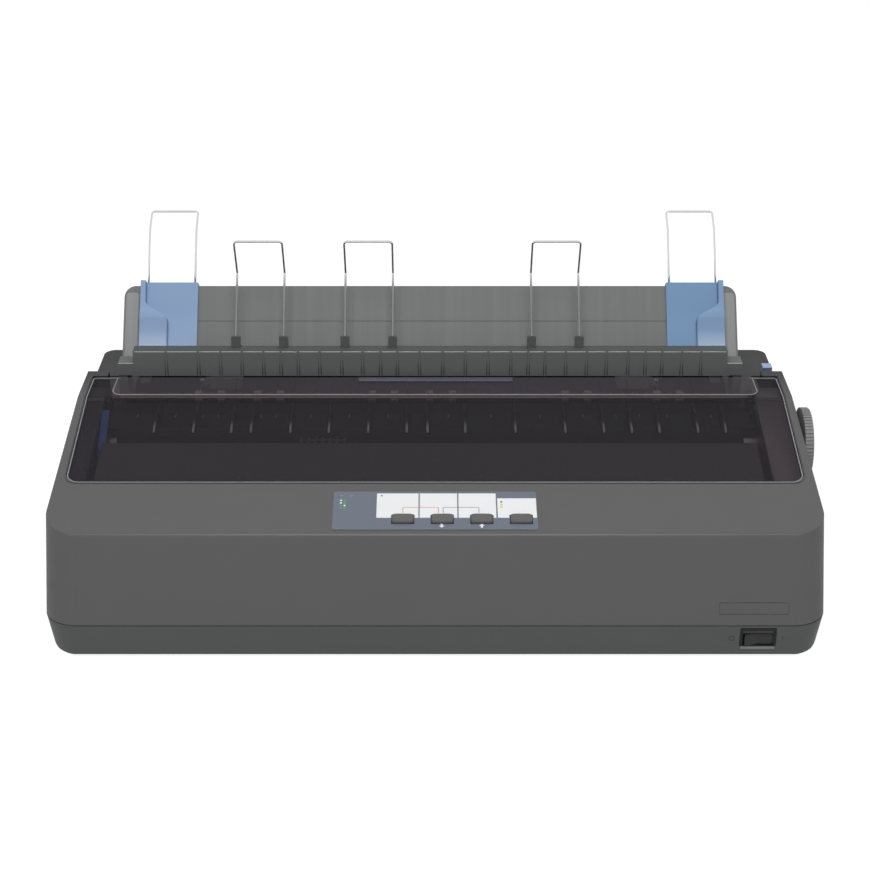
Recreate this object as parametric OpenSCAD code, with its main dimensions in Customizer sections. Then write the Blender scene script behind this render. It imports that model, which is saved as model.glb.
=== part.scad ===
// Wide dot matrix printer: a two-part case with a smoke-clear lid, a sheet guide at the back,
// and the platen, carriage, ribbon and tractors inside.
// Lengths are millimetres. Y runs from the front to the back and is measured from the front top
// edge of the deck, Z from the floor, X from the middle of the case. from_front() then moves each
// piece to the frame whose origin lies at the middle of the footprint.

/* [Case] */
// Width over the sides at the seam
case_w = 600; // [580:1:620]
// Back wall of the case behind the front top edge
case_back = 325; // [318:1:345]
// Height of the deck at its front edge
deck_front_h = 104; // [100:1:110]
// Slope of the deck, degrees
deck_slope = 11.5; // [10:0.5:12]
// Where the sloping deck turns level
kink_y = 175; // [172:1:178]
// Back end of the high rim
rim_end_y = 227; // [224:1:227]
// Height of the low shoulder at the back
shoulder_h = 118.5; // [117.5:0.5:122]
// Height of the seam between the two case halves
seam_h = 28; // [24:1:32]
// Lean of the side walls, degrees
side_draft = 3.6; // [2:0.2:4]
// Lean of the front wall, degrees
front_lean = 4.5; // [2:0.5:6]
// Thickness of the case walls
case_wall = 3; // [2.5:0.1:3.2]
// Height of the groove at the seam
groove_h = 0.8; // [0.5:0.1:1.2]
// Depth of the groove at the seam
groove_d = 0.9; // [0.5:0.1:1.2]
// Radius of the front corners
corner_r = 27; // [15:1:30]
// Radius of the back corners
back_corner_r = 10; // [6:1:14]
// Radius along the front top edge
edge_r = 4.5; // [2:0.5:6]
// How far the sides of the lower case draw in at its bottom
lower_draw = 4.5; // [2:0.5:6]
// How far the front of the lower case draws in at its bottom
front_draw = 0.6; // [0.4:0.1:2]
// Radius along the bottom edge at the sides
bottom_r = 8; // [4:0.5:9]
// Radius along the bottom edge at the front and the back
front_bottom_r = 2.5; // [2:0.5:5]
// Height of the feet below the case
foot_h = 2; // [1.5:0.1:3]
// Radius of a foot
foot_r = 9; // [7:0.5:12]
// Distance of the feet and of the case screws from the side walls
foot_inset = 45; // [40:1:60]

/* [Lid] */
// Width of the lid
lid_w = 573; // [565:1:574]
// Front edge of the lid
lid_front_y = 62; // [60:0.5:63]
// Back edge of the lid
lid_back_y = 213; // [211:0.5:213]
// Thickness of the lid
lid_t = 2.7; // [2:0.1:3.2]
// Radius of the lid's front corners
lid_corner_r = 11; // [6:1:16]
// Gap around the lid and under it
lid_gap = 0.3; // [0.2:0.05:0.5]
// Left edge of the opening under the lid
bay_left = -272; // [-272:0.5:-268]
// Right edge of the opening under the lid
bay_right = 263; // [259:0.5:263]
// Distance of the lid's hinge in front of its back edge
lid_hinge_in = 9; // [8:0.5:10]
// Depth of the lid's hinge below its top
lid_hinge_drop = 6.5; // [6:0.5:7.5]
// Radius of the lid's hinge pegs
lid_peg_r = 2.5; // [2:0.1:3]
// Thickness of the raised exit strip on the lid
strip_t = 2; // [1.2:0.1:2.2]
// Width of the raised exit strip
strip_w = 532; // [500:1:540]
// Thickness of the sound pad under the lid
pad_t = 4; // [2:0.5:4]
// Back edge of the sound pad
pad_back_y = 118; // [110:1:119]

/* [Deck controls] */
// Width of the control label
label_w = 155; // [120:1:170]
// Depth of the control label
label_d = 46; // [36:1:50]
// Front edge of the label behind the front top edge
label_front_y = 5; // [4:0.5:8]
// Thickness of the label
label_t = 0.6; // [0.3:0.1:1]
// Width of a button
button_w = 16.6; // [12:0.2:20]
// Depth of a button
button_d = 10; // [7:0.2:11]
// Distance between buttons
button_pitch = 29.8; // [26:0.2:32]
// Middle of the first button
button_first_x = -24.3; // [-30:0.1:-20]
// Height of a button above the deck
button_h = 2; // [1:0.1:3]
// Travel of a button
button_travel = 1.2; // [0.8:0.1:1.5]
// Gap around a button
button_gap = 0.4; // [0.2:0.05:0.6]

/* [Power switch] */
// Middle of the power switch
switch_x = 246.5; // [200:0.5:250]
// Height of the power switch
switch_z = 16.5; // [15:0.5:18]
// Width of the switch housing
switch_w = 31; // [26:0.5:36]
// Height of the switch housing
switch_h = 15; // [12:0.5:17]

/* [Platen and gears] */
// Middle of the platen behind the front top edge
platen_y = 150; // [149:0.5:151]
// Height of the platen's axis
platen_z = 109; // [108:0.5:109.5]
// Radius of the platen
platen_r = 12; // [10:0.5:12]
// Radius of the platen shaft
platen_shaft_r = 4; // [3:0.5:5]
// Radius of the platen knob
knob_r = 29; // [22:0.5:30]
// Thickness of the platen knob
knob_t = 7; // [6:0.5:12]
// Ridges round the knob
knob_ridges = 60; // [40:1:72]
// Gear module, pitch diameter over teeth
gear_module = 1; // [1:0.05:1]
// Teeth on the platen gear
platen_teeth = 34; // [32:1:35]
// Teeth on each idler gear
idler_teeth = 36; // [34:1:36]
// Teeth on the tractor gear
tractor_teeth = 30; // [28:1:31]
// Teeth on the motor pinion
pinion_teeth = 14; // [13:1:15]
// Width of the gears
gear_w = 6; // [4:0.5:7]
// Running clearance of shafts in their bores
run_gap = 0.06; // [0.04:0.01:0.09]

/* [Carriage] */
// Height of the guide rod's axis
rod_z = 78; // [77:0.5:79]
// Guide rod behind the front top edge
rod_y = 112; // [111.5:0.5:113]
// Radius of the guide rod
rod_r = 5; // [4:0.5:6]
// Resting place of the carriage
carriage_x = -90; // [-120:1:60]
// Width of the carriage
carriage_w = 56; // [50:1:58]
// Width of the print head
head_w = 38; // [30:1:44]
// Gap between the head's nose and the platen
head_gap = 0.7; // [0.4:0.1:1]
// Pitch radius of the belt pulleys
pulley_r = 6.7; // [6:0.1:7]
// Thickness of the timing belt
belt_t = 1.2; // [1:0.1:1.4]
// Width of the timing belt
belt_w = 6; // [5:0.5:7]

/* [Ribbon cartridge] */
// Height of the cartridge's top
ribbon_top = 108.5; // [106:0.5:108.5]
// Thickness of the cartridge
ribbon_t = 16; // [14:0.5:17]
// Depth of the cartridge's body
ribbon_d = 29; // [26:0.5:30]

/* [Sheet guide] */
// Width of the ribbed bar
bar_w = 497; // [470:1:500]
// Width of the bar's low end steps
bar_step_w = 523.5; // [518:0.5:526]
// Middle of the bar and of the sheet guide
guide_x = -4; // [-5:0.5:-3]
// Front face of the bar
bar_y = 216; // [216:0.5:217]
// Depth of the bar
bar_d = 13; // [11:0.5:14]
// Height of the bar's foot
bar_z = 140; // [139:0.5:141]
// Height of the bar
bar_h = 22; // [18:0.5:24]
// Thickness of the bar and the sheet guide
guide_t = 2.5; // [2:0.1:3]
// Width of the sheet guide
sheet_w = 522; // [514:1:524]
// Height of the sheet guide along its lean
sheet_h = 71; // [60:1:75]
// Lean of the sheet guide from upright, degrees
sheet_lean = 37; // [33:0.5:38]
// Width of an edge guide
edge_w = 48; // [40:1:52]
// Middle of the left edge guide
edge_left_x = -226; // [-230:1:-220]
// Middle of the right edge guide
edge_right_x = 221; // [212:1:224]
// Radius of the wires
wire_r = 1; // [0.8:0.1:1.2]
// Bend radius of the wires
wire_bend_r = 3; // [2.5:0.1:4]
// Spacing of a wire's two legs
wire_span = 40; // [36:0.5:42]

/* [Tractors] */
// Radius of the pin wheels at the paper
pin_wheel_r = 16.17; // [15:0.1:16.2]
// Pins on each wheel
pin_count = 8; // [6:1:10]
// Side of the square tractor shaft
tractor_shaft_a = 7; // [6:0.1:7.5]
// Radius of the tractor support rod
support_r = 4; // [3:0.5:5]
// Middle of the left tractor
tractor_left_x = -190; // [-210:1:-120]
// Middle of the right tractor
tractor_right_x = 180; // [120:1:200]
// Width of a tractor's frame
tractor_w = 22; // [20:1:24]

/* [Hidden] */
$fn = 48;

// ---- Worked-out places ----------------------------------------------------------------------

// The footprint's middle, which becomes the origin along Y.
foot_mid_y = 164;
far = 700;
eps = 0.01;
seat = 0.3;
snug = 0.03;

half_w = case_w / 2;
// The places above are written for a case of this width. On a wider or narrower case, what lies
// at the sides moves out or in with them, and the rows of ribs, wheels and wires spread.
drawn_case_w = 600;
side_shift = (case_w - drawn_case_w) / 2;
spread = case_w / drawn_case_w;
bay_start = bay_left - side_shift;
bay_end = bay_right + side_shift;
switch_mid_x = switch_x + side_shift;
left_tractor_x = tractor_left_x - side_shift;
right_tractor_x = tractor_right_x + side_shift;
left_edge_x = edge_left_x - side_shift;
right_edge_x = edge_right_x + side_shift;
draft_run = tan(side_draft);
lean_run = (deck_front_h - seam_h) * tan(front_lean);
deck_rise = tan(deck_slope);
rim_h = deck_front_h + kink_y * deck_rise;
floor_z = foot_h + case_wall;
foot_x = half_w - foot_inset;
foot_front_y = 30;
foot_back_y = case_back - 30;

lid_half = lid_w / 2 + side_shift;
pocket_half = lid_half + lid_gap;
pocket_depth = lid_t + lid_gap;
ledge_end_y = lid_back_y - 14;
// The rim turns in behind the lid's back corners, clear of the lid's back edge as it swings.
rim_turn_x = half_w - 25;
lid_swing_gap = 2.6;
hinge_y = lid_back_y - lid_hinge_in;
hinge_z = rim_h - lid_hinge_drop;

frame_t = 2;
frame_left = bay_start - 1;
frame_right = bay_end + 1;
chassis_top = floor_z + 2;
frame_back_y = case_back - 25;

// Gear centres follow from the tooth counts, so every pair stays in mesh.
mesh_gap = 0.12;
gear_x = frame_left - frame_t - 1 - gear_w;
function pitch_r(teeth) = gear_module * teeth / 2;
function mesh_d(a, b) = pitch_r(a) + pitch_r(b) + mesh_gap;
function step_to(from, dist, angle) = [from[0] + dist * cos(angle), from[1] + dist * sin(angle)];
// The phase that puts a gap of the second gear at the tooth of the first.
function mesh_phase(phase, teeth, next_teeth, angle) =
    angle + 180 + ((angle - phase) * teeth / 360 + 0.5) * 360 / next_teeth;
front_idler_angle = -25;
rear_idler_angle = -15;
tractor_angle = 15;
pinion_angle = -80;
platen_c = [platen_y, platen_z];
front_idler_c = step_to(platen_c, mesh_d(platen_teeth, idler_teeth), front_idler_angle);
rear_idler_c = step_to(front_idler_c, mesh_d(idler_teeth, idler_teeth), rear_idler_angle);
tractor_c = step_to(rear_idler_c, mesh_d(idler_teeth, tractor_teeth), tractor_angle);
pinion_c = step_to(front_idler_c, mesh_d(idler_teeth, pinion_teeth), pinion_angle);
front_idler_phase = mesh_phase(0, platen_teeth, idler_teeth, front_idler_angle);
rear_idler_phase = mesh_phase(front_idler_phase, idler_teeth, idler_teeth, rear_idler_angle);
tractor_phase = mesh_phase(rear_idler_phase, idler_teeth, tractor_teeth, tractor_angle);
pinion_phase = mesh_phase(front_idler_phase, idler_teeth, pinion_teeth, pinion_angle);
stud_r = 3;
feed_motor_r = 18;

// Carriage drive.
carriage_front_y = rod_y - 13;
belt_y = carriage_front_y - 0.3 - belt_t / 2 - pulley_r;
belt_z = rod_z - belt_w / 2 - 1;
pulley_flange_r = pulley_r + 1.3;
idler_pulley_x = frame_left + 18;
drive_pulley_x = frame_right - 19;
pulley_bore_r = 2.5;
carriage_motor_r = 20;
motor_h = 40;
rail_t = 2;
rail_y = rod_y + 8;
rail_top = rod_z - 12;
carriage_z = rod_z - 10;
carriage_h = 20;
head_back_y = platen_y - platen_r - head_gap;

ribbon_front_y = 66.5;
ribbon_left = bay_start + 10;
ribbon_right = bay_end - 11;
ribbon_arm_w = 9;
ribbon_knob_x = ribbon_left + 27;
ribbon_knob_r = 8;

// Paper guide ribs behind the platen, and the wheels of the exit rollers.
inner_rib_x = spread * [-227.8, -195.9, -165.1, -149.2, -117.2, -86, -54.1, -22.9, -6.1, 24.6, 65.2,
    105.7, 136.9, 159.4, 181.9, 213.1, 235.6];
exit_c = [platen_y + 46, platen_z + 21];
exit_shaft_r = 2.5;
exit_wheel_r = 5;
exit_wheel_x = spread * [-187, -138, -43, 5, 117.5, 194];
exit_wheel_gap = 19;

// Sheet guide: the pivot, and places on the guide's own plane.
bar_back_y = bar_y + bar_d;
bar_top = bar_z + bar_h;
bar_rib_x = spread * [-225, -198, -179.5, -161.5, -143.5, -129, -114.5, -96.5, -78, -60.5, -45.5,
    -31.5, -13, 6.5, 25.5, 44.5, 63.5, 78, 92, 109.5, 127, 143.5, 161.5, 176, 190, 206.5, 222.5];
pivot_y = bar_back_y + 8;
pivot_z = bar_z - 2;
pivot_r = 3;
bar_half = bar_w / 2 + side_shift;
lug_out = bar_half - 4.5;
lug_w = 8;
sheet_front = -5.8;
sheet_groove_z = 39;
edge_front = sheet_front - seat - guide_t;
edge_back_t = 2.4;
leg_depth = 1.6;
leg_boss_r = 2.6;
leg_boss_h = 18;
guide_wire_top = 124;
support_wire_x = spread * [-147, -55.5, 101];
socket_y = bar_back_y - 2.5;

// Tractors.
pin_r = 1.9;
pin_h = 3;
pin_wheel_w = 7;
hub_r = 7;
support_c = [tractor_c[0] + 22, tractor_c[1] - 13.5];
cover_z = tractor_c[1] + pin_wheel_r + pin_h + 0.9;
cover_t = 2;
cover_front_y = tractor_c[0] - 2;
cover_back_y = tractor_c[0] + 34;
cover_pin_r = 1.5;
tractor_bay_half = half_w - 47;

release_x = half_w - 17;
release_y = 243;
release_pivot_y = release_y - 12;
release_pivot_z = 98;
thickness_y = 120;
thickness_z = 88;

// ---- Shared shapes --------------------------------------------------------------------------

module from_front() translate([0, -foot_mid_y, 0]) children();

// Places a piece on the sloping deck: X across, Y up the slope, Z out of the deck.
module on_deck() translate([0, 0, deck_front_h]) rotate([deck_slope, 0, 0]) children();

// Places a piece on the sheet guide: Z up along its lean, Y through its thickness.
module on_sheet() translate([0, pivot_y, pivot_z]) rotate([-sheet_lean, 0, 0]) children();

// Extrudes an outline of Y and Z places along X, from one X to another.
module across(x0, x1) translate([x0, 0, 0]) rotate([90, 0, 90]) linear_extrude(x1 - x0) children();

// Extrudes an outline of X and Z places along Y.
module along_y(y0, y1) translate([0, y1, 0]) rotate([90, 0, 0]) linear_extrude(y1 - y0) children();

// A cylinder along X at a place of Y and Z.
module x_cylinder(place, r, x0, x1) translate([x0, place[0], place[1]]) rotate([0, 90, 0])
    cylinder(r = r, h = x1 - x0);

// A box between two corners.
module box(a, b) translate(a) cube(b - a);

// A rectangle with round corners, between two corners.
module round_rect(a, b, r) {
    translate([a[0] + r, a[1]]) square([b[0] - a[0] - 2 * r, b[1] - a[1]]);
    translate([a[0], a[1] + r]) square([b[0] - a[0], b[1] - a[1] - 2 * r]);
    for (x = [a[0] + r, b[0] - r], y = [a[1] + r, b[1] - r]) translate([x, y]) circle(r);
}

// Points of the arc that rounds the corner b between a and c.
function unit(v) = v / norm(v);
function arc_points(a, b, c, r, n = 7) =
    let (u = unit(a - b), v = unit(c - b), half = acos(u * v) / 2, m = b + unit(u + v) * r / sin(half),
        start = b + u * r / tan(half) - m, stop = b + v * r / tan(half) - m)
    [for (i = [0 : n]) let (w = unit(start * (n - i) + stop * i)) m + w * r];

// A twelve-sided rod between two points, turned to lie on a flat and run on so that its
// neighbours meet.
module rod(p, q, r) {
    v = q - p;
    translate(p) rotate([0, acos(v[2] / norm(v)), atan2(v[1], v[0])]) rotate(15)
        translate([0, 0, -r / 2]) cylinder(r = r, h = norm(v) + r, $fn = 12);
}

// A rod through a list of points, with its corners bent to a radius.
module bent_rod(points, r, bend_r) {
    last = len(points) - 1;
    path = concat([points[0]],
        [for (i = [1 : last - 1]) each arc_points(points[i - 1], points[i], points[i + 1], bend_r, 3)],
        [points[last]]);
    for (i = [0 : len(path) - 2]) rod(path[i], path[i + 1], r);
}

// Tooth outline of a spur gear: involute flanks from the base circle to the tip.
function involute(base, t) = [base * (cos(t) + t * PI / 180 * sin(t)), base * (sin(t) - t * PI / 180 * cos(t))];
function turn(p, a) = [p[0] * cos(a) - p[1] * sin(a), p[0] * sin(a) + p[1] * cos(a)];
function flank(teeth, n = 4) =
    let (r = pitch_r(teeth), base = r * cos(20), tip = r + 0.85 * gear_module,
        t_end = sqrt(pow(tip / base, 2) - 1) * 180 / PI,
        t_pitch = sqrt(pow(r / base, 2) - 1) * 180 / PI,
        at_pitch = involute(base, t_pitch), half_tooth = 90 / teeth - 0.11 * 180 / (PI * r),
        shift = -half_tooth - atan2(at_pitch[1], at_pitch[0]))
    [for (i = [0 : n]) turn(involute(base, t_end * i / n), shift)];
module gear_outline(teeth, phase) {
    root = pitch_r(teeth) - 1.2 * gear_module;
    side = flank(teeth);
    last = len(side) - 1;
    rotate(phase) {
        circle(root + 0.05, $fn = 96);
        for (k = [0 : teeth - 1]) rotate(k * 360 / teeth) polygon(concat(
            [turn([root - 0.4, 0], atan2(side[0][1], side[0][0]))], side,
            [for (i = [last : -1 : 0]) [side[i][0], -side[i][1]]],
            [turn([root - 0.4, 0], -atan2(side[0][1], side[0][0]))]));
    }
}
// A gear along X with a bore.
module gear(place, teeth, phase, bore) translate([gear_x, place[0], place[1]]) rotate([90, 0, 90])
    linear_extrude(gear_w) difference() {
        gear_outline(teeth, phase);
        circle(bore);
    }

// ---- Case -----------------------------------------------------------------------------------

// Removes the sharp corner between a side wall and the front wall: local X points out of the side.
module corner_cut(place, lean_x, lean_y, r, below, above)
    translate(place) rotate([-atan(tan(lean_y) * cos(lean_x)), -lean_x, 0]) translate([0, 0, -below])
        linear_extrude(below + above) difference() {
            translate([-r, -r]) square(2 * r);
            translate([-r, r]) circle(r, $fn = 96);
        }
module both_sides() {
    children();
    mirror([1, 0, 0]) children();
}

// Side view of the upper case, drawn in by an inset.
function upper_side(t) =
    let (low = seam_h - (t > 0 ? 20 : 0), front = t - lean_run, top = deck_front_h - t / cos(deck_slope),
        knee = [t, top + t * deck_rise], kink = [kink_y, rim_h - t])
    concat([[front - (t > 0 ? 20 * tan(front_lean) : 0), low]],
        arc_points([front, seam_h], knee, kink, max(edge_r - t, 0.8)),
        [kink, [rim_end_y - t, rim_h - t], [rim_end_y - t, shoulder_h - t],
        [case_back - t, shoulder_h - t], [case_back - t, low]]);

// The upper case as a solid block, drawn in by an inset.
module upper_block(t) {
    low = seam_h - (t > 0 ? 20 : 0);
    bottom = half_w - t + (seam_h - low) * draft_run;
    top = half_w - t - (rim_h - seam_h + 10) * draft_run;
    difference() {
        intersection() {
            across(-half_w - 5, half_w + 5) polygon(upper_side(t));
            along_y(-20, case_back + 20)
                polygon([[-bottom, low], [bottom, low], [top, rim_h + 10], [-top, rim_h + 10]]);
        }
        both_sides() {
            corner_cut([half_w - t, t - lean_run, seam_h], side_draft, front_lean,
                max(corner_r - t, 1), 60, 140);
            translate([0, case_back, 0]) mirror([0, 1, 0])
                corner_cut([half_w - t, t, seam_h], side_draft, 0, max(back_corner_r - t, 1), 60, 140);
        }
    }
}

// A band that follows the deck and the level rim, between two depths below them.
module deck_band(y0, y1, depth0, depth1, x0, x1) {
    function deck_z(y) = deck_front_h + min(y, kink_y) * deck_rise;
    places = y1 > kink_y ? [y0, kink_y, y1] : [y0, y1];
    last = len(places) - 1;
    across(x0, x1) polygon(concat([for (y = places) [y, deck_z(y) - depth0]],
        [for (i = [last : -1 : 0]) [places[i], deck_z(places[i]) - depth1]]));
}

// The lid's outline in plan, grown by a gap: round corners at the front only.
module lid_plan(grow, back) {
    r = lid_corner_r + grow;
    w = lid_half + grow;
    y0 = lid_front_y - grow;
    translate([-w, y0 + r]) square([2 * w, back - y0 - r]);
    translate([-w + r, y0]) square([2 * (w - r), r + 1]);
    for (x = [-w + r, w - r]) translate([x, y0 + r]) circle(r, $fn = 64);
}

module button_place(i) on_deck() translate([button_first_x + i * button_pitch, label_front_y + 12, 0])
    children();
switch_hole = [switch_w - 3, switch_h - 3];
screw_x = half_w - 17;
screw_front_y = 27;
screw_back_y = case_back - 14;
module screw_places() for (x = [-screw_x, screw_x], y = [screw_front_y, screw_back_y])
    translate([x, y, 0]) children();
socket_z = 62;
inlet_x = 85 - half_w;
inlet_size = [27, 20];
port_x = half_w / 2;
port_size = [58, 14];

module upper_case() from_front() color([0.33, 0.33, 0.32]) difference() {
    union() {
        difference() {
            upper_block(0);
            upper_block(case_wall);
        }
        // Ledge round the lid, and the thick rim beside it.
        intersection() {
            upper_block(0);
            union() {
                intersection() {
                    deck_band(0, rim_end_y, 0, pocket_depth + case_wall, -far, far);
                    translate([0, 0, 50]) linear_extrude(far) lid_plan(case_wall + lid_gap, rim_end_y);
                }
                both_sides() {
                    box([pocket_half, hinge_y - 8, hinge_z - 6], [half_w, hinge_y + 8, rim_h]);
                    box([rim_turn_x, lid_back_y + lid_swing_gap, shoulder_h - case_wall],
                        [half_w, rim_end_y, rim_h]);
                }
            }
        }
        // Posts that take the case screws.
        intersection() {
            upper_block(0);
            screw_places() translate([0, 0, seam_h]) cylinder(r = 5, h = far);
        }
        // Posts that carry the panel board under the buttons.
        on_deck() for (x = [-70, 70], y = [30, 46]) translate([x, y, -9.4])
            cylinder(r = 3, h = 9.4 - case_wall / 2);
    }
    // Groove along the seam.
    difference() {
        box([-far, -far, seam_h - 1], [far, far, seam_h + groove_h]);
        upper_block(groove_d);
    }
    // Pocket for the lid, closed behind its back corners by the rim.
    intersection() {
        union() {
            deck_band(0, rim_end_y + 1, -10, pocket_depth, -far, far);
            box([-far, ledge_end_y, shoulder_h - case_wall], [far, rim_end_y + 1, rim_h + 1]);
        }
        translate([0, 0, 50]) linear_extrude(far) {
            lid_plan(lid_gap, lid_back_y + lid_swing_gap);
            translate([-rim_turn_x, ledge_end_y]) square([2 * rim_turn_x, rim_end_y + 1 - ledge_end_y]);
        }
    }
    // Opening under the lid, and the tractor bay behind it.
    box([bay_start, lid_front_y + 4, 90], [bay_end, ledge_end_y + 1, far]);
    box([guide_x - tractor_bay_half, ledge_end_y, 90],
        [guide_x + tractor_bay_half, case_back - 9, far]);
    // Bearings of the lid's pegs.
    for (side = [-1, 1]) x_cylinder([hinge_y, hinge_z], lid_peg_r + run_gap,
        side > 0 ? pocket_half - 1 : -pocket_half - 4, side > 0 ? pocket_half + 4 : -pocket_half + 1);
    // Holes for the buttons, the platen shaft, the release lever and the screws.
    for (i = [0 : 3]) button_place(i) translate([-button_w / 2 - button_gap, -button_d / 2 - button_gap, -20])
        cube([button_w + 2 * button_gap, button_d + 2 * button_gap, 40]);
    x_cylinder(platen_c, platen_shaft_r + 2, half_w - 15, half_w + 5);
    box([release_x - 5.5, release_y - 14, shoulder_h - 10], [release_x + 5.5, release_y + 20, far]);
    screw_places() translate([0, 0, seam_h - 1]) cylinder(r = 2, h = 13);
    // Holes for the sockets in the back wall.
    translate([inlet_x, case_back - case_wall - 1, socket_z]) translate([-inlet_size[0] / 2, 0, -inlet_size[1] / 2])
        cube([inlet_size[0], 10, inlet_size[1]]);
    translate([port_x, case_back - case_wall - 1, socket_z]) translate([-port_size[0] / 2, 0, -port_size[1] / 2])
        cube([port_size[0], 10, port_size[1]]);
    // Outline of the bare name plate on the front wall.
    translate([half_w - 58, -lean_run, seam_h]) rotate([-front_lean, 0, 0]) difference() {
        translate([-26.5, -1, 10]) cube([53, 1.4, 10]);
        translate([-26, -2, 10.5]) cube([52, 3, 9]);
    }
}

// Side view of the lower case, drawn in by an inset.
function lower_side(t) =
    let (z0 = foot_h + t, top = seam_h + (t > 0 ? 5 : 0), front = t - lean_run, back = case_back - t,
        grow = t > 0 ? front_draw * 5 / (seam_h - foot_h) : 0, r = max(front_bottom_r - t, 1),
        a = [front - grow, top], b = [front + front_draw, z0], c = [back - 2, z0], d = [back, top])
    concat([a], arc_points(a, b, c, r), arc_points(b, c, d, r), [d]);
function lower_front(t) =
    let (z0 = foot_h + t, top = seam_h + (t > 0 ? 5 : 0), w = half_w - t,
        grow = t > 0 ? lower_draw * 5 / (seam_h - foot_h) : 0, r = max(bottom_r - t, 1),
        a = [-w - grow, top], b = [-w + lower_draw, z0], c = [w - lower_draw, z0], d = [w + grow, top])
    concat([a], arc_points(a, b, c, r), arc_points(b, c, d, r), [d]);
lower_lean = atan(lower_draw / (seam_h - foot_h));
lower_front_lean = atan(front_draw / (seam_h - foot_h));
module lower_block(t) difference() {
    intersection() {
        across(-far, far) polygon(lower_side(t));
        along_y(-20, case_back + 20) polygon(lower_front(t));
    }
    both_sides() {
        corner_cut([half_w - t, t - lean_run, seam_h], -lower_lean, -lower_front_lean,
            max(corner_r - t, 1), 60, 30);
        translate([0, case_back, 0]) mirror([0, 1, 0])
            corner_cut([half_w - t, t, seam_h], -lower_lean, -atan(2 / (seam_h - foot_h)),
                max(back_corner_r - t, 1), 60, 30);
    }
}

module lower_case() from_front() color([0.29, 0.29, 0.28]) difference() {
    union() {
        difference() {
            lower_block(0);
            lower_block(case_wall);
        }
        intersection() {
            lower_block(0);
            screw_places() cylinder(r = 5, h = seam_h);
        }
    }
    screw_places() {
        translate([0, 0, -1]) cylinder(r = 2.2, h = far);
        translate([0, 0, -1]) cylinder(r = 4.5, h = foot_h + 5);
    }
    // Hole for the power switch.
    box([switch_mid_x - switch_hole[0] / 2, -20, switch_z - switch_hole[1] / 2],
        [switch_mid_x + switch_hole[0] / 2, 20, switch_z + switch_hole[1] / 2]);
}

module feet() from_front() color([0.1, 0.1, 0.1])
    for (x = [-foot_x, foot_x], y = [foot_front_y, foot_back_y]) translate([x, y, 0])
        cylinder(r = foot_r, h = foot_h);

module case_screws() from_front() color([0.6, 0.6, 0.62]) screw_places() {
    difference() {
        translate([0, 0, foot_h + 1.5]) cylinder(r = 4, h = 2.5);
        for (a = [0, 90]) rotate(a) translate([-2.5, -0.5, foot_h]) cube([5, 1, 2.7]);
    }
    translate([0, 0, foot_h + 3.9]) cylinder(r = 2 - snug, h = seam_h + 10 - foot_h - 3.9);
}

// ---- Lid ------------------------------------------------------------------------------------

module printer_cover() from_front() color([0.2, 0.2, 0.22, 0.5]) {
    intersection() {
        deck_band(lid_front_y - 5, lid_back_y, 0, lid_t, -lid_half, lid_half);
        translate([0, 0, 50]) linear_extrude(far) lid_plan(0, lid_back_y);
    }
    both_sides() {
        arm_in = lid_half - 4;
        box([arm_in, hinge_y - 4, hinge_z], [lid_half - eps, hinge_y + 4, rim_h - lid_t + eps]);
        x_cylinder([hinge_y, hinge_z], 4, arm_in, lid_half - eps);
        x_cylinder([hinge_y, hinge_z], lid_peg_r, lid_half - 1, pocket_half + 3.6);
    }
}

module exit_strip() from_front() color([0.55, 0.55, 0.6, 0.4]) {
    half = strip_w / 2 + side_shift;
    front = kink_y + 0.1;
    back = lid_back_y - 4;
    round = 8;
    translate([0, 0, rim_h]) linear_extrude(strip_t) polygon(concat([[-half, back]],
        arc_points([-half, back], [-half, front], [half, front], round),
        arc_points([-half, front], [half, front], [half, back], round), [[half, back]]));
    // Finger lip at the back edge.
    box([-65, lid_back_y - 8, rim_h + strip_t / 2], [66, lid_back_y - 5, rim_h + strip_t + 0.8]);
}

module sound_pad() from_front() color([0.16, 0.16, 0.16])
    deck_band(lid_front_y + 5, pad_back_y, lid_t, lid_t + pad_t, bay_start + 5, bay_end - 6);

// ---- Deck controls --------------------------------------------------------------------------

module control_label() from_front() color([0.42, 0.46, 0.5]) on_deck() difference() {
    linear_extrude(label_t) round_rect([-label_w / 2, label_front_y], [label_w / 2, label_front_y + label_d], 2);
    for (i = [0 : 3]) translate([button_first_x + i * button_pitch - button_w / 2 - button_gap,
        label_front_y + 12 - button_d / 2 - button_gap, -1])
        cube([button_w + 2 * button_gap, button_d + 2 * button_gap, 3]);
}

// A key with a flange that keeps it in, and a stem down to the switch on the panel board.
module button(i) from_front() color([0.35, 0.35, 0.35]) button_place(i) {
    translate([0, 0, -case_wall - 1]) linear_extrude(case_wall + 1 + button_h)
        round_rect([-button_w / 2, -button_d / 2], [button_w / 2, button_d / 2], 2);
    translate([-button_w / 2 - 1.5, -button_d / 2 - 1.5, -case_wall - 1.6])
        cube([button_w + 3, button_d + 3, 1.2]);
    translate([0, 0, -case_wall - 3]) cylinder(r = 2, h = 2);
}
module button_1() button(0);
module button_2() button(1);
module button_3() button(2);
module button_4() button(3);

// ---- Power switch ---------------------------------------------------------------------------

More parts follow.
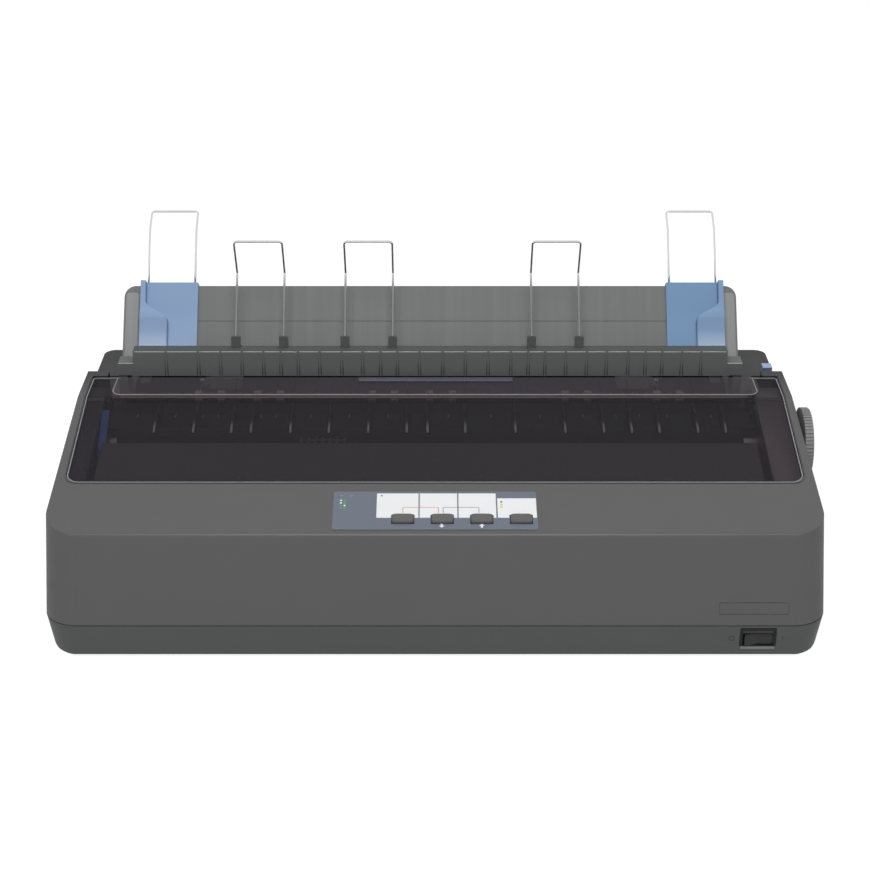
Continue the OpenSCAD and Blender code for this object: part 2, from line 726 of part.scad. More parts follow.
switch_y = -lean_run + front_draw * 0.4;
module switch_housing() from_front() color([0.12, 0.12, 0.12]) difference() {
    box([switch_mid_x - switch_hole[0] / 2 + 0.2, switch_y - 0.5, switch_z - switch_hole[1] / 2 + 0.2],
        [switch_mid_x + switch_hole[0] / 2 - 0.2, switch_y + 20, switch_z + switch_hole[1] / 2 - 0.2]);
    box([switch_mid_x - 12, -20, switch_z - 4.9], [switch_mid_x + 12, switch_y + 12, switch_z + 4.9]);
    translate([switch_mid_x, switch_y + 5, 0]) cylinder(r = 1.5 + run_gap, h = seam_h);
}
module power_rocker() from_front() color([0.08, 0.08, 0.08]) translate([switch_mid_x, switch_y + 5, switch_z]) {
    rotate([0, 0, 7]) translate([0, 0, -4.6]) linear_extrude(9.2)
        polygon([[-11, -5.5], [0, -4.2], [11, -5.5], [11, -1], [4, 3], [-4, 3], [-11, -1]]);
    translate([0, 0, -5.4]) cylinder(r = 1.5, h = 10.8);
}

// ---- Chassis and side frames ----------------------------------------------------------------

board_x = spread * [-210, 60];
board_y = [rail_y + 30, case_back - 35];
board_z = chassis_top + 7;
module chassis() from_front() color([0.62, 0.63, 0.64]) {
    difference() {
        box([frame_left - frame_t, 40, floor_z], [frame_right + frame_t, frame_back_y, chassis_top]);
        for (x = spread * [-120, 40]) box([x, 60, floor_z - 1], [x + 100, 100, chassis_top + 1]);
    }
    // Upright rail that the carriage's foot runs on.
    box([frame_left + 2, rail_y - rail_t / 2, chassis_top - eps], [frame_right - 2, rail_y + rail_t / 2, rail_top]);
    // Post of the idler pulley, with a foot.
    translate([idler_pulley_x, belt_y, chassis_top - eps]) {
        cylinder(r = 6, h = belt_z - 1.6 - chassis_top);
        cylinder(r = pulley_bore_r, h = belt_z + belt_w + 4 - chassis_top);
    }
    // Spacers of the main board.
    for (x = [board_x[0] + 8, board_x[1] - 8], y = [board_y[0] + 8, board_y[1] - 8])
        translate([x, y, chassis_top - eps]) cylinder(r = 3, h = board_z - chassis_top + eps);
}

frame_outline = [[62, chassis_top], [62, 104], [128, 118], [166, 126.5], [186, 126.5], [200, 112],
    [frame_back_y, 112], [frame_back_y, chassis_top]];
module side_frame(x0) difference() {
    union() {
        across(x0, x0 + frame_t) polygon(frame_outline);
        box([x0, 62, chassis_top], [x0 + frame_t, frame_back_y, chassis_top + 1]);
    }
    x_cylinder(platen_c, 8, x0 - 1, x0 + frame_t + 1);
    x_cylinder(tractor_c, 8, x0 - 1, x0 + frame_t + 1);
    x_cylinder([rod_y, rod_z], rod_r + snug, x0 - 1, x0 + frame_t + 1);
    x_cylinder(support_c, support_r + snug, x0 - 1, x0 + frame_t + 1);
}
module side_frame_left() from_front() color([0.66, 0.67, 0.68]) {
    difference() {
        side_frame(frame_left - frame_t);
        x_cylinder(pinion_c, 4, frame_left - frame_t - 1, frame_left + 1);
    }
    // Studs of the idler gears and of the thickness lever.
    for (c = [front_idler_c, rear_idler_c])
        x_cylinder(c, stud_r, gear_x - 1, frame_left - frame_t + eps);
    x_cylinder([thickness_y, thickness_z], stud_r, frame_left - eps, frame_left + 8);
}
module side_frame_right() from_front() color([0.66, 0.67, 0.68]) {
    side_frame(frame_right);
    x_cylinder([release_pivot_y, release_pivot_z], stud_r, frame_right + frame_t - eps, release_x + 5);
}

module bush(place, outer, inner, x0, x1) difference() {
    x_cylinder(place, outer - snug, x0, x1);
    x_cylinder(place, inner + run_gap, x0 - 1, x1 + 1);
}
tractor_journal_r = tractor_shaft_a * 0.72;
module shaft_bushes() from_front() color([0.85, 0.83, 0.75]) {
    for (x = [frame_left - frame_t, frame_right]) {
        bush(platen_c, 8, platen_shaft_r, x, x + frame_t + (x > 0 ? 1 : 0));
        bush(tractor_c, 8, tractor_journal_r, x, x + frame_t + (x > 0 ? 1 : 0));
    }
}

// ---- Platen, knob and gears -----------------------------------------------------------------

platen_left = ribbon_left + 4;
platen_right = ribbon_right - 2;
module platen() from_front() color([0.1, 0.1, 0.1]) difference() {
    x_cylinder(platen_c, platen_r, platen_left, platen_right);
    x_cylinder(platen_c, platen_shaft_r + snug, platen_left - 1, platen_right + 1);
}
knob_x = half_w - (platen_z - knob_r - seam_h) * draft_run + 0.3;
module platen_shaft() from_front() color([0.75, 0.76, 0.78])
    x_cylinder(platen_c, platen_shaft_r, gear_x - 1, knob_x + knob_t - 1.5);
module platen_gear() from_front() color([0.9, 0.9, 0.88])
    gear(platen_c, platen_teeth, 0, platen_shaft_r + snug);
module platen_knob() from_front() color([0.5, 0.5, 0.5]) difference() {
    union() {
        x_cylinder(platen_c, knob_r - 0.8, knob_x, knob_x + knob_t);
        translate([knob_x, platen_y, platen_z]) rotate([0, 90, 0]) for (i = [0 : knob_ridges - 1])
            rotate(i * 360 / knob_ridges) translate([knob_r - 2, -0.7, 0]) cube([2, 1.4, knob_t - 1]);
    }
    x_cylinder(platen_c, platen_shaft_r + snug, knob_x - 1, knob_x + knob_t - 1.3);
    x_cylinder(platen_c, knob_r - 6, knob_x + knob_t - 1, knob_x + knob_t + 1);
}
module front_idler_gear() from_front() color([0.9, 0.9, 0.88])
    gear(front_idler_c, idler_teeth, front_idler_phase, stud_r + run_gap);
module rear_idler_gear() from_front() color([0.9, 0.9, 0.88])
    gear(rear_idler_c, idler_teeth, rear_idler_phase, stud_r + run_gap);
module tractor_gear() from_front() color([0.9, 0.9, 0.88])
    gear(tractor_c, tractor_teeth, tractor_phase, tractor_journal_r + snug);
module motor_pinion() from_front() color([0.85, 0.75, 0.45]) {
    gear(pinion_c, pinion_teeth, pinion_phase, 2);
    x_cylinder(pinion_c, 2 + eps, gear_x, frame_left + 6);
}
module feed_motor() from_front() color([0.45, 0.45, 0.47]) difference() {
    union() {
        x_cylinder(pinion_c, feed_motor_r, frame_left, frame_left + 32);
        box([frame_left, pinion_c[0] - 24, pinion_c[1] - 6], [frame_left + 2, pinion_c[0] + 24, pinion_c[1] + 6]);
    }
    x_cylinder(pinion_c, 2 + run_gap, frame_left - 1, frame_left + 7);
}

// ---- Carriage drive -------------------------------------------------------------------------

module guide_rod() from_front() color([0.78, 0.79, 0.8])
    x_cylinder([rod_y, rod_z], rod_r, frame_left - frame_t, frame_right + frame_t);

module carriage() from_front() color([0.15, 0.15, 0.16]) {
    x0 = carriage_x - carriage_w / 2;
    x1 = carriage_x + carriage_w / 2;
    foot_gap = rail_t / 2 + seat;
    difference() {
        union() {
            box([x0, carriage_front_y, carriage_z], [x1, rod_y + 16, carriage_z + carriage_h]);
            for (side = [-1, 1]) translate([0, rail_y + side * (foot_gap + 1), 0])
                box([x0 + 8, -1, rail_top - 6], [x1 - 8, 1, carriage_z + eps]);
        }
        x_cylinder([rod_y, rod_z], rod_r + run_gap, x0 - 1, x1 + 1);
    }
}

module print_head() from_front() color([0.3, 0.3, 0.31]) {
    z0 = carriage_z + carriage_h;
    x0 = carriage_x - head_w / 2;
    x1 = carriage_x + head_w / 2;
    box([x0, rod_y - 8, z0], [x1, head_back_y - 5, platen_z + 6]);
    // Nose with the wires, at the platen.
    box([carriage_x - 8, head_back_y - 5 - eps, platen_z - 6], [carriage_x + 8, head_back_y, platen_z + 6]);
    // Cooling fins.
    for (i = [0 : 6]) translate([x0 + 1 + i * (head_w - 3.5) / 6, 0, 0])
        box([0, rod_y + 9, platen_z + 6 - eps], [1.5, head_back_y - 5, platen_z + 13.5]);
    box([x0, rod_y + 12, platen_z + 12], [x1, rod_y + 16, platen_z + 13.5]);
}

module timing_belt() from_front() color([0.08, 0.08, 0.08]) translate([0, belt_y, belt_z])
    linear_extrude(belt_w) difference() {
        union() {
            for (x = [idler_pulley_x, drive_pulley_x]) translate([x, 0]) circle(pulley_r + belt_t / 2);
            translate([idler_pulley_x, -pulley_r - belt_t / 2])
                square([drive_pulley_x - idler_pulley_x, 2 * pulley_r + belt_t]);
        }
        for (x = [idler_pulley_x, drive_pulley_x]) translate([x, 0]) circle(pulley_r - belt_t / 2);
        translate([idler_pulley_x, -pulley_r + belt_t / 2])
            square([drive_pulley_x - idler_pulley_x, 2 * pulley_r - belt_t]);
    }

module pulley(x, bore) translate([x, belt_y, belt_z - 1.3]) difference() {
    union() {
        cylinder(r = pulley_r - belt_t / 2 - 0.3, h = belt_w + 2.6);
        cylinder(r = pulley_flange_r, h = 1);
        translate([0, 0, belt_w + 1.6]) cylinder(r = pulley_flange_r, h = 1);
    }
    if (bore > 0) translate([0, 0, -1]) cylinder(r = bore, h = belt_w + 6);
}
module idler_pulley() from_front() color([0.8, 0.8, 0.78]) pulley(idler_pulley_x, pulley_bore_r + run_gap);
motor_top = carriage_z - 1;
module drive_pulley() from_front() color([0.8, 0.8, 0.78]) {
    pulley(drive_pulley_x, 0);
    translate([drive_pulley_x, belt_y, motor_top - 6]) cylinder(r = pulley_bore_r, h = belt_z - motor_top + 6);
}
module carriage_motor() from_front() color([0.45, 0.45, 0.47]) translate([drive_pulley_x, belt_y, 0]) difference() {
    union() {
        translate([0, 0, motor_top - motor_h]) cylinder(r = carriage_motor_r - 1.5, h = motor_h);
        // Bracket down to the chassis.
        box([-18, -16, chassis_top], [18, 16, motor_top - motor_h + eps]);
    }
    translate([0, 0, motor_top - 7]) cylinder(r = pulley_bore_r + run_gap, h = 10);
}

// ---- Ribbon ---------------------------------------------------------------------------------

module ribbon_cartridge() from_front() color([0.09, 0.09, 0.09]) {
    z0 = ribbon_top - ribbon_t;
    back = ribbon_front_y + ribbon_d;
    difference() {
        union() {
            box([ribbon_left, ribbon_front_y, z0], [ribbon_right, back, ribbon_top]);
            for (x = [ribbon_left, ribbon_right - ribbon_arm_w])
                box([x, back - eps, z0 + 4], [x + ribbon_arm_w, head_back_y - 3, ribbon_top - 1]);
            // Tabs that hook the cartridge into the side frames.
            box([frame_left + seat, ribbon_front_y + 8, z0 + 5], [ribbon_left + eps, ribbon_front_y + 16, z0 + 10]);
            box([ribbon_right - eps, ribbon_front_y + 8, z0 + 5], [frame_right - seat, ribbon_front_y + 16, z0 + 10]);
        }
        translate([ribbon_knob_x, ribbon_front_y + 14, ribbon_top - 6]) cylinder(r = ribbon_knob_r + 1, h = 10);
        translate([ribbon_knob_x, ribbon_front_y + 14, ribbon_top - 12]) cylinder(r = 2 + run_gap, h = 10);
    }
}
module ribbon_knob() from_front() color([0.2, 0.2, 0.2])
    translate([ribbon_knob_x, ribbon_front_y + 14, ribbon_top - 5.7]) {
        difference() {
            cylinder(r = ribbon_knob_r, h = 6);
            for (i = [0 : 11]) rotate(i * 30) translate([ribbon_knob_r + 0.3, 0, 1]) cylinder(r = 1, h = 8, $fn = 16);
        }
        translate([0, 0, -5.5]) cylinder(r = 2, h = 6);
    }

// ---- Paper path -----------------------------------------------------------------------------

cheek_y = platen_y + 25;
module inner_paper_guide() from_front() color([0.13, 0.13, 0.13]) {
    left = bay_start + 0.5;
    right = bay_end - 0.5;
    // Curved plate from behind the platen up to the exit rollers.
    across(left, right) polygon([[platen_y + 14, platen_z + 4], [platen_y + 30, platen_z + 9],
        [platen_y + 48, platen_z + 12.5], [platen_y + 48, platen_z + 14.5], [platen_y + 30, platen_z + 12],
        [platen_y + 14, platen_z + 6.5]]);
    // Ribs that carry the paper over the platen.
    arc_r = platen_r + 1.2;
    for (x = inner_rib_x) across(x - 0.9, x + 0.9) polygon(concat(
        [for (a = [130 : -10 : 50]) platen_c + arc_r * [cos(a), sin(a)]],
        [[platen_y + 14, platen_z + 5.5], [platen_y + 38, platen_z + 12],
        [platen_y + 38, platen_z + 18], [platen_y + 30, platen_z + 18.5],
        [platen_y + 10, platen_z + 16.3], [platen_y - 3, platen_z + 14.5]]));
    // Cheeks with the bearings of the exit rollers, and the bosses that seat them on the frames.
    for (x = [left, right - 3]) difference() {
        across(x, x + 3) polygon([[cheek_y, platen_z + 2], [cheek_y, platen_z + 14],
            [exit_c[0] - 7, exit_c[1] + 4.5], [exit_c[0] + 6, exit_c[1] + 4.5],
            [exit_c[0] + 6, platen_z + 2]]);
        x_cylinder(exit_c, exit_shaft_r + run_gap, x - 1, x + 4);
    }
    x_cylinder([cheek_y + 6, platen_z + 8], 5, frame_left + seat, left + eps);
    x_cylinder([cheek_y + 6, platen_z + 8], 5, right - eps, frame_right - seat);
}
module exit_rollers() from_front() color([0.35, 0.3, 0.3]) {
    x_cylinder(exit_c, exit_shaft_r, bay_start + 1, bay_end - 1);
    for (x = exit_wheel_x, side = [-1, 1]) x_cylinder(exit_c, exit_wheel_r,
        x + side * exit_wheel_gap / 2 - 3, x + side * exit_wheel_gap / 2 + 3);
}

// ---- Tractors -------------------------------------------------------------------------------

module tractor_shaft() from_front() color([0.75, 0.76, 0.78]) {
    a = tractor_shaft_a;
    for (x = [[gear_x, frame_left + 1], [frame_right - 1, frame_right + frame_t + 3]])
        x_cylinder(tractor_c, tractor_journal_r, x[0], x[1]);
    box([frame_left, tractor_c[0] - a / 2, tractor_c[1] - a / 2],
        [frame_right, tractor_c[0] + a / 2, tractor_c[1] + a / 2]);
}
module support_rod() from_front() color([0.75, 0.76, 0.78])
    x_cylinder(support_c, support_r, frame_left - frame_t, frame_right + frame_t);

// One tractor's frame about its own middle; side is +1 where the pin wheel lies to the right.
module tractor_frame(x, side) translate([x, 0, 0]) mirror([side > 0 ? 0 : 1, 0, 0]) {
    half = tractor_w / 2;
    difference() {
        union() {
            across(-half, half) polygon([[tractor_c[0] - 14, tractor_c[1] - 20],
                [tractor_c[0] - 14, tractor_c[1] + 8], [tractor_c[0] - 6, cover_z - 2], [cover_back_y, cover_z - 2],
                [cover_back_y, tractor_c[1] - 20]]);
            // Lugs of the cover's hinge.
            for (y = [cover_front_y + 4, cover_back_y - 8])
                box([-half, y, cover_z - 3], [-half + 5, y + 4, cover_z + 2.5]);
        }
        x_cylinder(tractor_c, hub_r + run_gap, -half - 1, half + 1);
        x_cylinder(support_c, support_r + run_gap, -half - 1, half + 1);
        translate([-half + 2.5, cover_back_y + 1, cover_z]) rotate([90, 0, 0])
            cylinder(r = cover_pin_r + run_gap, h = 60);
    }
}
module tractor_cover(x, side) translate([x, 0, 0]) mirror([side > 0 ? 0 : 1, 0, 0]) {
    half = tractor_w / 2;
    y0 = cover_front_y + 8 + seat;
    y1 = cover_back_y - 8 - seat;
    box([-half + 2.5, y0, cover_z - 0.5], [half + pin_wheel_w + 5, y1, cover_z + cover_t - 0.5]);
    box([-half + 6.5, cover_front_y, cover_z - 0.5], [half + pin_wheel_w + 5, cover_back_y, cover_z + cover_t - 0.5]);
    translate([-half + 2.5, y1 + 5, cover_z]) rotate([90, 0, 0]) cylinder(r = cover_pin_r, h = y1 - y0 + 10);
}
module pin_wheel(x, side) translate([x, 0, 0]) mirror([side > 0 ? 0 : 1, 0, 0]) {
    half = tractor_w / 2;
    difference() {
        union() {
            x_cylinder(tractor_c, hub_r, -half, half + 1);
            x_cylinder(tractor_c, pin_wheel_r, half + 0.5, half + 0.5 + pin_wheel_w);
            for (i = [0 : pin_count - 1]) translate([half + 0.5 + pin_wheel_w / 2, tractor_c[0], tractor_c[1]])
                rotate([i * 360 / pin_count, 0, 0]) translate([0, 0, pin_wheel_r - 4])
                    cylinder(r = pin_r, h = pin_h + 4);
        }
        box([-half - 1, tractor_c[0] - tractor_shaft_a / 2 - run_gap, tractor_c[1] - tractor_shaft_a / 2 - run_gap],
            [half + 12, tractor_c[0] + tractor_shaft_a / 2 + run_gap, tractor_c[1] + tractor_shaft_a / 2 + run_gap]);
    }
}
module tractor_lock(x, side) translate([x, 0, 0]) mirror([side > 0 ? 0 : 1, 0, 0]) {
    x1 = -tractor_w / 2 - seat;
    x0 = x1 - 4;
    difference() {
        union() {
            x_cylinder(support_c, 8, x0, x1);
            across(x0, x1) polygon([[support_c[0] - 5, support_c[1]], [support_c[0] + 5, support_c[1]],
                [support_c[0] + 10, support_c[1] + 30], [support_c[0] + 4, support_c[1] + 30]]);
        }
        x_cylinder(support_c, support_r + run_gap, x0 - 1, x1 + 1);
    }
}
module tractor_frame_left() from_front() color([0.14, 0.14, 0.14]) tractor_frame(left_tractor_x, 1);
module tractor_frame_right() from_front() color([0.14, 0.14, 0.14]) tractor_frame(right_tractor_x, -1);
module tractor_cover_left() from_front() color([0.2, 0.2, 0.2]) tractor_cover(left_tractor_x, 1);
module tractor_cover_right() from_front() color([0.2, 0.2, 0.2]) tractor_cover(right_tractor_x, -1);
module pin_wheel_left() from_front() color([0.85, 0.85, 0.83]) pin_wheel(left_tractor_x, 1);
module pin_wheel_right() from_front() color([0.85, 0.85, 0.83]) pin_wheel(right_tractor_x, -1);
module tractor_lock_left() from_front() color([0.45, 0.57, 0.72]) tractor_lock(left_tractor_x, 1);
module tractor_lock_right() from_front() color([0.45, 0.57, 0.72]) tractor_lock(right_tractor_x, -1);

// ---- Sheet guide ----------------------------------------------------------------------------

module ribbed_bar() from_front() color([0.3, 0.31, 0.3]) translate([guide_x, 0, 0]) {
    half = bar_half;
    step = bar_step_w / 2 + side_shift;
    difference() {
        union() {
            difference() {
                across(-half, half) polygon(concat([[bar_y, bar_z]],
                    arc_points([bar_y, bar_z], [bar_y, bar_top], [bar_back_y, bar_top], 1.5),
                    [[bar_back_y, bar_top], [bar_back_y, bar_z]]));
                box([-half + guide_t, bar_y + guide_t, bar_z - 1],
                    [half - guide_t, bar_back_y - guide_t, bar_top - guide_t]);
            }
            // Low steps at the ends, with feet that stand on the shoulder.
            both_sides() {
                box([half - eps, bar_y + 1, bar_z], [step, bar_back_y + 3, bar_z + 11]);
                box([step - 7.5, bar_y + 2, shoulder_h], [step, bar_back_y + 11, bar_z + eps]);
                // Lugs of the sheet guide's pivot.
                box([lug_out - lug_w, bar_back_y - eps, pivot_z - 5], [lug_out, pivot_y + 5, pivot_z + 6]);
                box([lug_out - lug_w, bar_y + 2, pivot_z - 5], [lug_out, bar_back_y, bar_z + 1]);
            }
            // Sockets of the support wires.
            for (x = support_wire_x, side = [-1, 1])
                translate([x - guide_x + side * wire_span / 2, socket_y, bar_top - eps])
                    rotate([-8, 0, 0]) translate([-3.7, -2.4, -2]) cube([7.4, 4.8, 11]);
            // Fine ribs on the front face.
            for (x = bar_rib_x) box([x - guide_x - 0.5, bar_y - 0.4, bar_z],
                [x - guide_x + 0.5, bar_y + 1, bar_top - 1.5]);
        }
        both_sides() x_cylinder([pivot_y, pivot_z], pivot_r + run_gap, lug_out - lug_w - 1, lug_out + 1);
        for (x = support_wire_x, side = [-1, 1]) translate([x - guide_x + side * wire_span / 2, socket_y, bar_top])
            rotate([-8, 0, 0]) translate([0, 0, 0.5]) cylinder(r = wire_r + snug, h = 12);
    }
}

module sheet_guide() from_front() color([0.52, 0.52, 0.52]) translate([guide_x, 0, 0]) {
    half = sheet_w / 2 + side_shift;
    on_sheet() {
        difference() {
            along_y(sheet_front, sheet_front + guide_t) difference() {
                union() {
                    translate([-half, 2]) square([2 * half, sheet_h - 12]);
                    translate([-half + 10, 2]) square([2 * half - 20, sheet_h - 2]);
                    for (x = [-half + 10, half - 10]) translate([x, sheet_h - 10]) circle(10);
                }
                for (side = [-1, 1]) translate([side * (lug_out - lug_w / 2) - lug_w / 2 - 1, -1])
                    square([lug_w + 2, 17]);
            }
            // Groove across the front.
            box([-half + 1, sheet_front - 1, sheet_groove_z], [half - 1, sheet_front + 0.5, sheet_groove_z + 1.2]);
        }
        // Ears with the pivot pins.
        both_sides() {
            box([lug_out + 1.3, sheet_front + eps, -3], [lug_out + 4.3, 3, 8]);
            x_cylinder([0, 0], pivot_r, lug_out - lug_w, lug_out + 1.3 + eps);
        }
    }
}

// An edge guide about its own middle; side is -1 where the raised fence lies to the left.
module edge_guide(x, side) translate([x, 0, 0]) mirror([side < 0 ? 0 : 1, 0, 0]) on_sheet() {
    half = edge_w / 2;
    top = sheet_h + seat;
    front = edge_front;
    back = sheet_front + guide_t + seat;
    difference() {
        union() {
            box([-half, front, 9], [half, front + guide_t, top + 2]);
            box([-half, front, top], [half, back + edge_back_t, top + 2]);
            box([-half, back, top - 16], [half, back + edge_back_t, top + 1]);
            for (leg = [-1, 1]) translate([leg * wire_span / 2, leg_depth, top + 2 - leg_boss_h])
                cylinder(r = leg_boss_r, h = leg_boss_h);
            // Raised fence: narrow at the top, wide below its sloping shoulder.
            along_y(front - 7, front + eps) polygon([[-half, 9], [-half, top + 2], [-half + 4, top + 2],
                [-half + 4, 47], [-half + 15, 39], [-half + 20, 33], [-half + 20, 9]]);
        }
        for (leg = [-1, 1]) translate([leg * wire_span / 2, leg_depth, top + 2 - leg_boss_h + 3])
            cylinder(r = wire_r + snug, h = 40);
    }
}
module edge_guide_left() from_front() color([0.55, 0.64, 0.76]) edge_guide(left_edge_x, -1);
module edge_guide_right() from_front() color([0.5, 0.6, 0.74]) edge_guide(right_edge_x, 1);

// The wire above an edge guide: two legs, bent back near the top.
function sheet_place(x, depth, up) = [x, pivot_y + depth * cos(sheet_lean) + up * sin(sheet_lean),
    pivot_z - depth * sin(sheet_lean) + up * cos(sheet_lean)];
module guide_wire(x) {
    span = wire_span / 2;
    foot = sheet_h + seat + 2 - leg_boss_h + 3.2 + wire_r;
    depth = leg_depth + 8.4;
    top = guide_wire_top + 19;
    bent_rod([sheet_place(x - span, leg_depth, foot), sheet_place(x - span, leg_depth, guide_wire_top),
        sheet_place(x - span, depth, top), sheet_place(x + span, depth, top),
        sheet_place(x + span, leg_depth, guide_wire_top), sheet_place(x + span, leg_depth, foot)],
        wire_r, wire_bend_r);
}
module guide_wire_left() from_front() color([0.8, 0.8, 0.82]) guide_wire(left_edge_x);
module guide_wire_right() from_front() color([0.8, 0.8, 0.82]) guide_wire(right_edge_x);

module support_wires() from_front() color([0.8, 0.8, 0.82]) for (x = support_wire_x) {
    span = wire_span / 2;
    foot = [socket_y + 1.9 * sin(8), bar_top + 1.9 * cos(8)];
    mouth = [socket_y + 10.3 * sin(8), bar_top + 10.3 * cos(8)];
    bend = [262, 215];
    top = [244, 249];
    bent_rod([[x - span, foot[0], foot[1]], [x - span, mouth[0], mouth[1]], [x - span, bend[0], bend[1]],
        [x - span, top[0], top[1]], [x + span, top[0], top[1]], [x + span, bend[0], bend[1]],
        [x + span, mouth[0], mouth[1]], [x + span, foot[0], foot[1]]],
        wire_r, wire_bend_r);
}

// ---- Levers ---------------------------------------------------------------------------------

module release_lever() from_front() color([0.5, 0.6, 0.74]) difference() {
    union() {
        x_cylinder([release_pivot_y, release_pivot_z], 7, release_x - 4, release_x + 4);
        across(release_x - 4, release_x + 4) polygon([[release_pivot_y - 4, release_pivot_z],
            [release_y - 7, 114], [release_y - 2.5, 134], [release_y - 5, 138], [release_y + 5, 138],
            [release_y + 3.5, 130], [release_y + 2, 114], [release_pivot_y + 4, release_pivot_z]]);
    }
    x_cylinder([release_pivot_y, release_pivot_z], stud_r + run_gap, release_x - 5, release_x + 6);
}

module thickness_lever() from_front() color([0.3, 0.4, 0.65]) difference() {
    x0 = frame_left + 1.5;
    x1 = x0 + 6;
    union() {
        x_cylinder([thickness_y, thickness_z], 6, x0, x1);
        across(x0, x1) polygon([[thickness_y - 4, thickness_z], [thickness_y + 8, thickness_z + 26],
            [thickness_y + 41, thickness_z + 45], [thickness_y + 46, thickness_z + 43],
            [thickness_y + 44, thickness_z + 40], [thickness_y + 14, thickness_z + 22],
            [thickness_y + 5, thickness_z]]);
    }
    x_cylinder([thickness_y, thickness_z], stud_r + run_gap, x0 - 1, x1 + 1);
}

// ---- Electrics ------------------------------------------------------------------------------

module circuit_boards() from_front() color([0.15, 0.35, 0.2]) {
    box([board_x[0], board_y[0], board_z], [board_x[1], board_y[1], board_z + 1.6]);
    // Chips and connectors on the main board.
    for (i = [0 : 3]) box([board_x[0] + 30 + i * 55, board_y[0] + 50, board_z + 1.6 - eps],
        [board_x[0] + 56 + i * 55, board_y[0] + 76, board_z + 4.5]);
    for (i = [0 : 2]) box([board_x[0] + 30 + i * 70, board_y[1] - 28, board_z + 1.6 - eps],
        [board_x[0] + 62 + i * 70, board_y[1] - 20, board_z + 10]);
    // Panel board with the key switches and lamps under the label.
    on_deck() {
        box([-76, 8, -11], [76, 50, -9.4]);
        for (i = [0 : 3]) translate([button_first_x + i * button_pitch, label_front_y + 12, -9.4 - eps]) {
            translate([-3, -3, 0]) cube([6, 6, 9.4 - case_wall - 3 - button_travel - 1.2]);
            cylinder(r = 1.5, h = 9.4 - case_wall - 3 - button_travel - 0.3);
        }
    }
}
module power_supply() from_front() color([0.7, 0.62, 0.35]) {
    x0 = half_w - 190;
    y0 = frame_back_y - 110;
    box([x0, y0, chassis_top], [x0 + 130, y0 + 106, chassis_top + 2]);
    box([x0 + 10, y0 + 10, chassis_top + 2 - eps], [x0 + 75, y0 + 70, chassis_top + 46]);
    for (i = [0 : 2]) translate([x0 + 95, y0 + 15 + i * 30, chassis_top + 2 - eps]) cylinder(r = 9, h = 26);
}
module rear_sockets() from_front() color([0.1, 0.1, 0.1]) {
    y0 = case_back - 22;
    difference() {
        box([inlet_x - inlet_size[0] / 2 + 0.2, y0, socket_z - inlet_size[1] / 2 + 0.2],
            [inlet_x + inlet_size[0] / 2 - 0.2, case_back, socket_z + inlet_size[1] / 2 - 0.2]);
        box([inlet_x - 11, case_back - 16, socket_z - 7.5], [inlet_x + 11, case_back + 1, socket_z + 7.5]);
    }
    for (p = [[-5, -1.5], [5, -1.5], [0, 3]]) box([inlet_x + p[0] - 1, case_back - 17, socket_z + p[1] - 2],
        [inlet_x + p[0] + 1, case_back - 4, socket_z + p[1] + 2]);
    difference() {
        box([port_x - port_size[0] / 2 + 0.2, y0 + 6, socket_z - port_size[1] / 2 + 0.2],
            [port_x + port_size[0] / 2 - 0.2, case_back, socket_z + port_size[1] / 2 - 0.2]);
        box([port_x - 25, case_back - 8, socket_z - 6], [port_x + 25, case_back + 1, socket_z + 6]);
    }
    box([port_x - 23, case_back - 9, socket_z - 1.5], [port_x + 23, case_back - 1.5, socket_z + 1.5]);
}

lower_case();
upper_case();
feet();
case_screws();
chassis();
side_frame_left();
side_frame_right();
shaft_bushes();
guide_rod();
carriage();
print_head();
timing_belt();
drive_pulley();
idler_pulley();
carriage_motor();
feed_motor();
motor_pinion();
platen_gear();
front_idler_gear();
rear_idler_gear();
tractor_gear();
platen();
platen_shaft();
platen_knob();
inner_paper_guide();
exit_rollers();
tractor_shaft();
support_rod();
tractor_frame_left();
tractor_frame_right();
tractor_cover_left();
tractor_cover_right();
pin_wheel_left();
pin_wheel_right();
tractor_lock_left();
tractor_lock_right();
ribbon_cartridge();
ribbon_knob();
printer_cover();
exit_strip();
sound_pad();
ribbed_bar();
sheet_guide();
edge_guide_left();
edge_guide_right();
guide_wire_left();
guide_wire_right();
support_wires();
release_lever();
thickness_lever();
control_label();
button_1();
button_2();
button_3();
button_4();
power_rocker();
switch_housing();
circuit_boards();
power_supply();
rear_sockets();
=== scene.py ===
import math

import bmesh
import bpy
import numpy as np
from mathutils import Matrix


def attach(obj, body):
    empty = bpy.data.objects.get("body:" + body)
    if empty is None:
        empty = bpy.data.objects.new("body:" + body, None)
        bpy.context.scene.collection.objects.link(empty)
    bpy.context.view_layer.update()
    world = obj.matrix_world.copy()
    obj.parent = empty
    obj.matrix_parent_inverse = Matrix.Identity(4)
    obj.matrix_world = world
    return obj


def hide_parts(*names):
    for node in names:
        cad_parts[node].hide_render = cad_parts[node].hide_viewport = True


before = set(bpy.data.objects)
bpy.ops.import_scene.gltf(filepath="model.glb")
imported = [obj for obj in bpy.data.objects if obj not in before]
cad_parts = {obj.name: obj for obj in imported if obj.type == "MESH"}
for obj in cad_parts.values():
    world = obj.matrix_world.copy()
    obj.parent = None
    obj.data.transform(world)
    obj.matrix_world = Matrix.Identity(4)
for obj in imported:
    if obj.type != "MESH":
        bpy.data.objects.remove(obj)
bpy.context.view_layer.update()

# ---- Camera -------------------------------------------------------------------------------
# A long lens looks down at the front of the printer from 25 degrees above.
PICTURE_WIDTH, FOCAL_PIXELS, SENSOR_WIDTH = 870, 1950, 36
camera = bpy.data.objects.new("camera", bpy.data.cameras.new("camera"))
camera.data.sensor_width = SENSOR_WIDTH
camera.data.lens = SENSOR_WIDTH * FOCAL_PIXELS / PICTURE_WIDTH
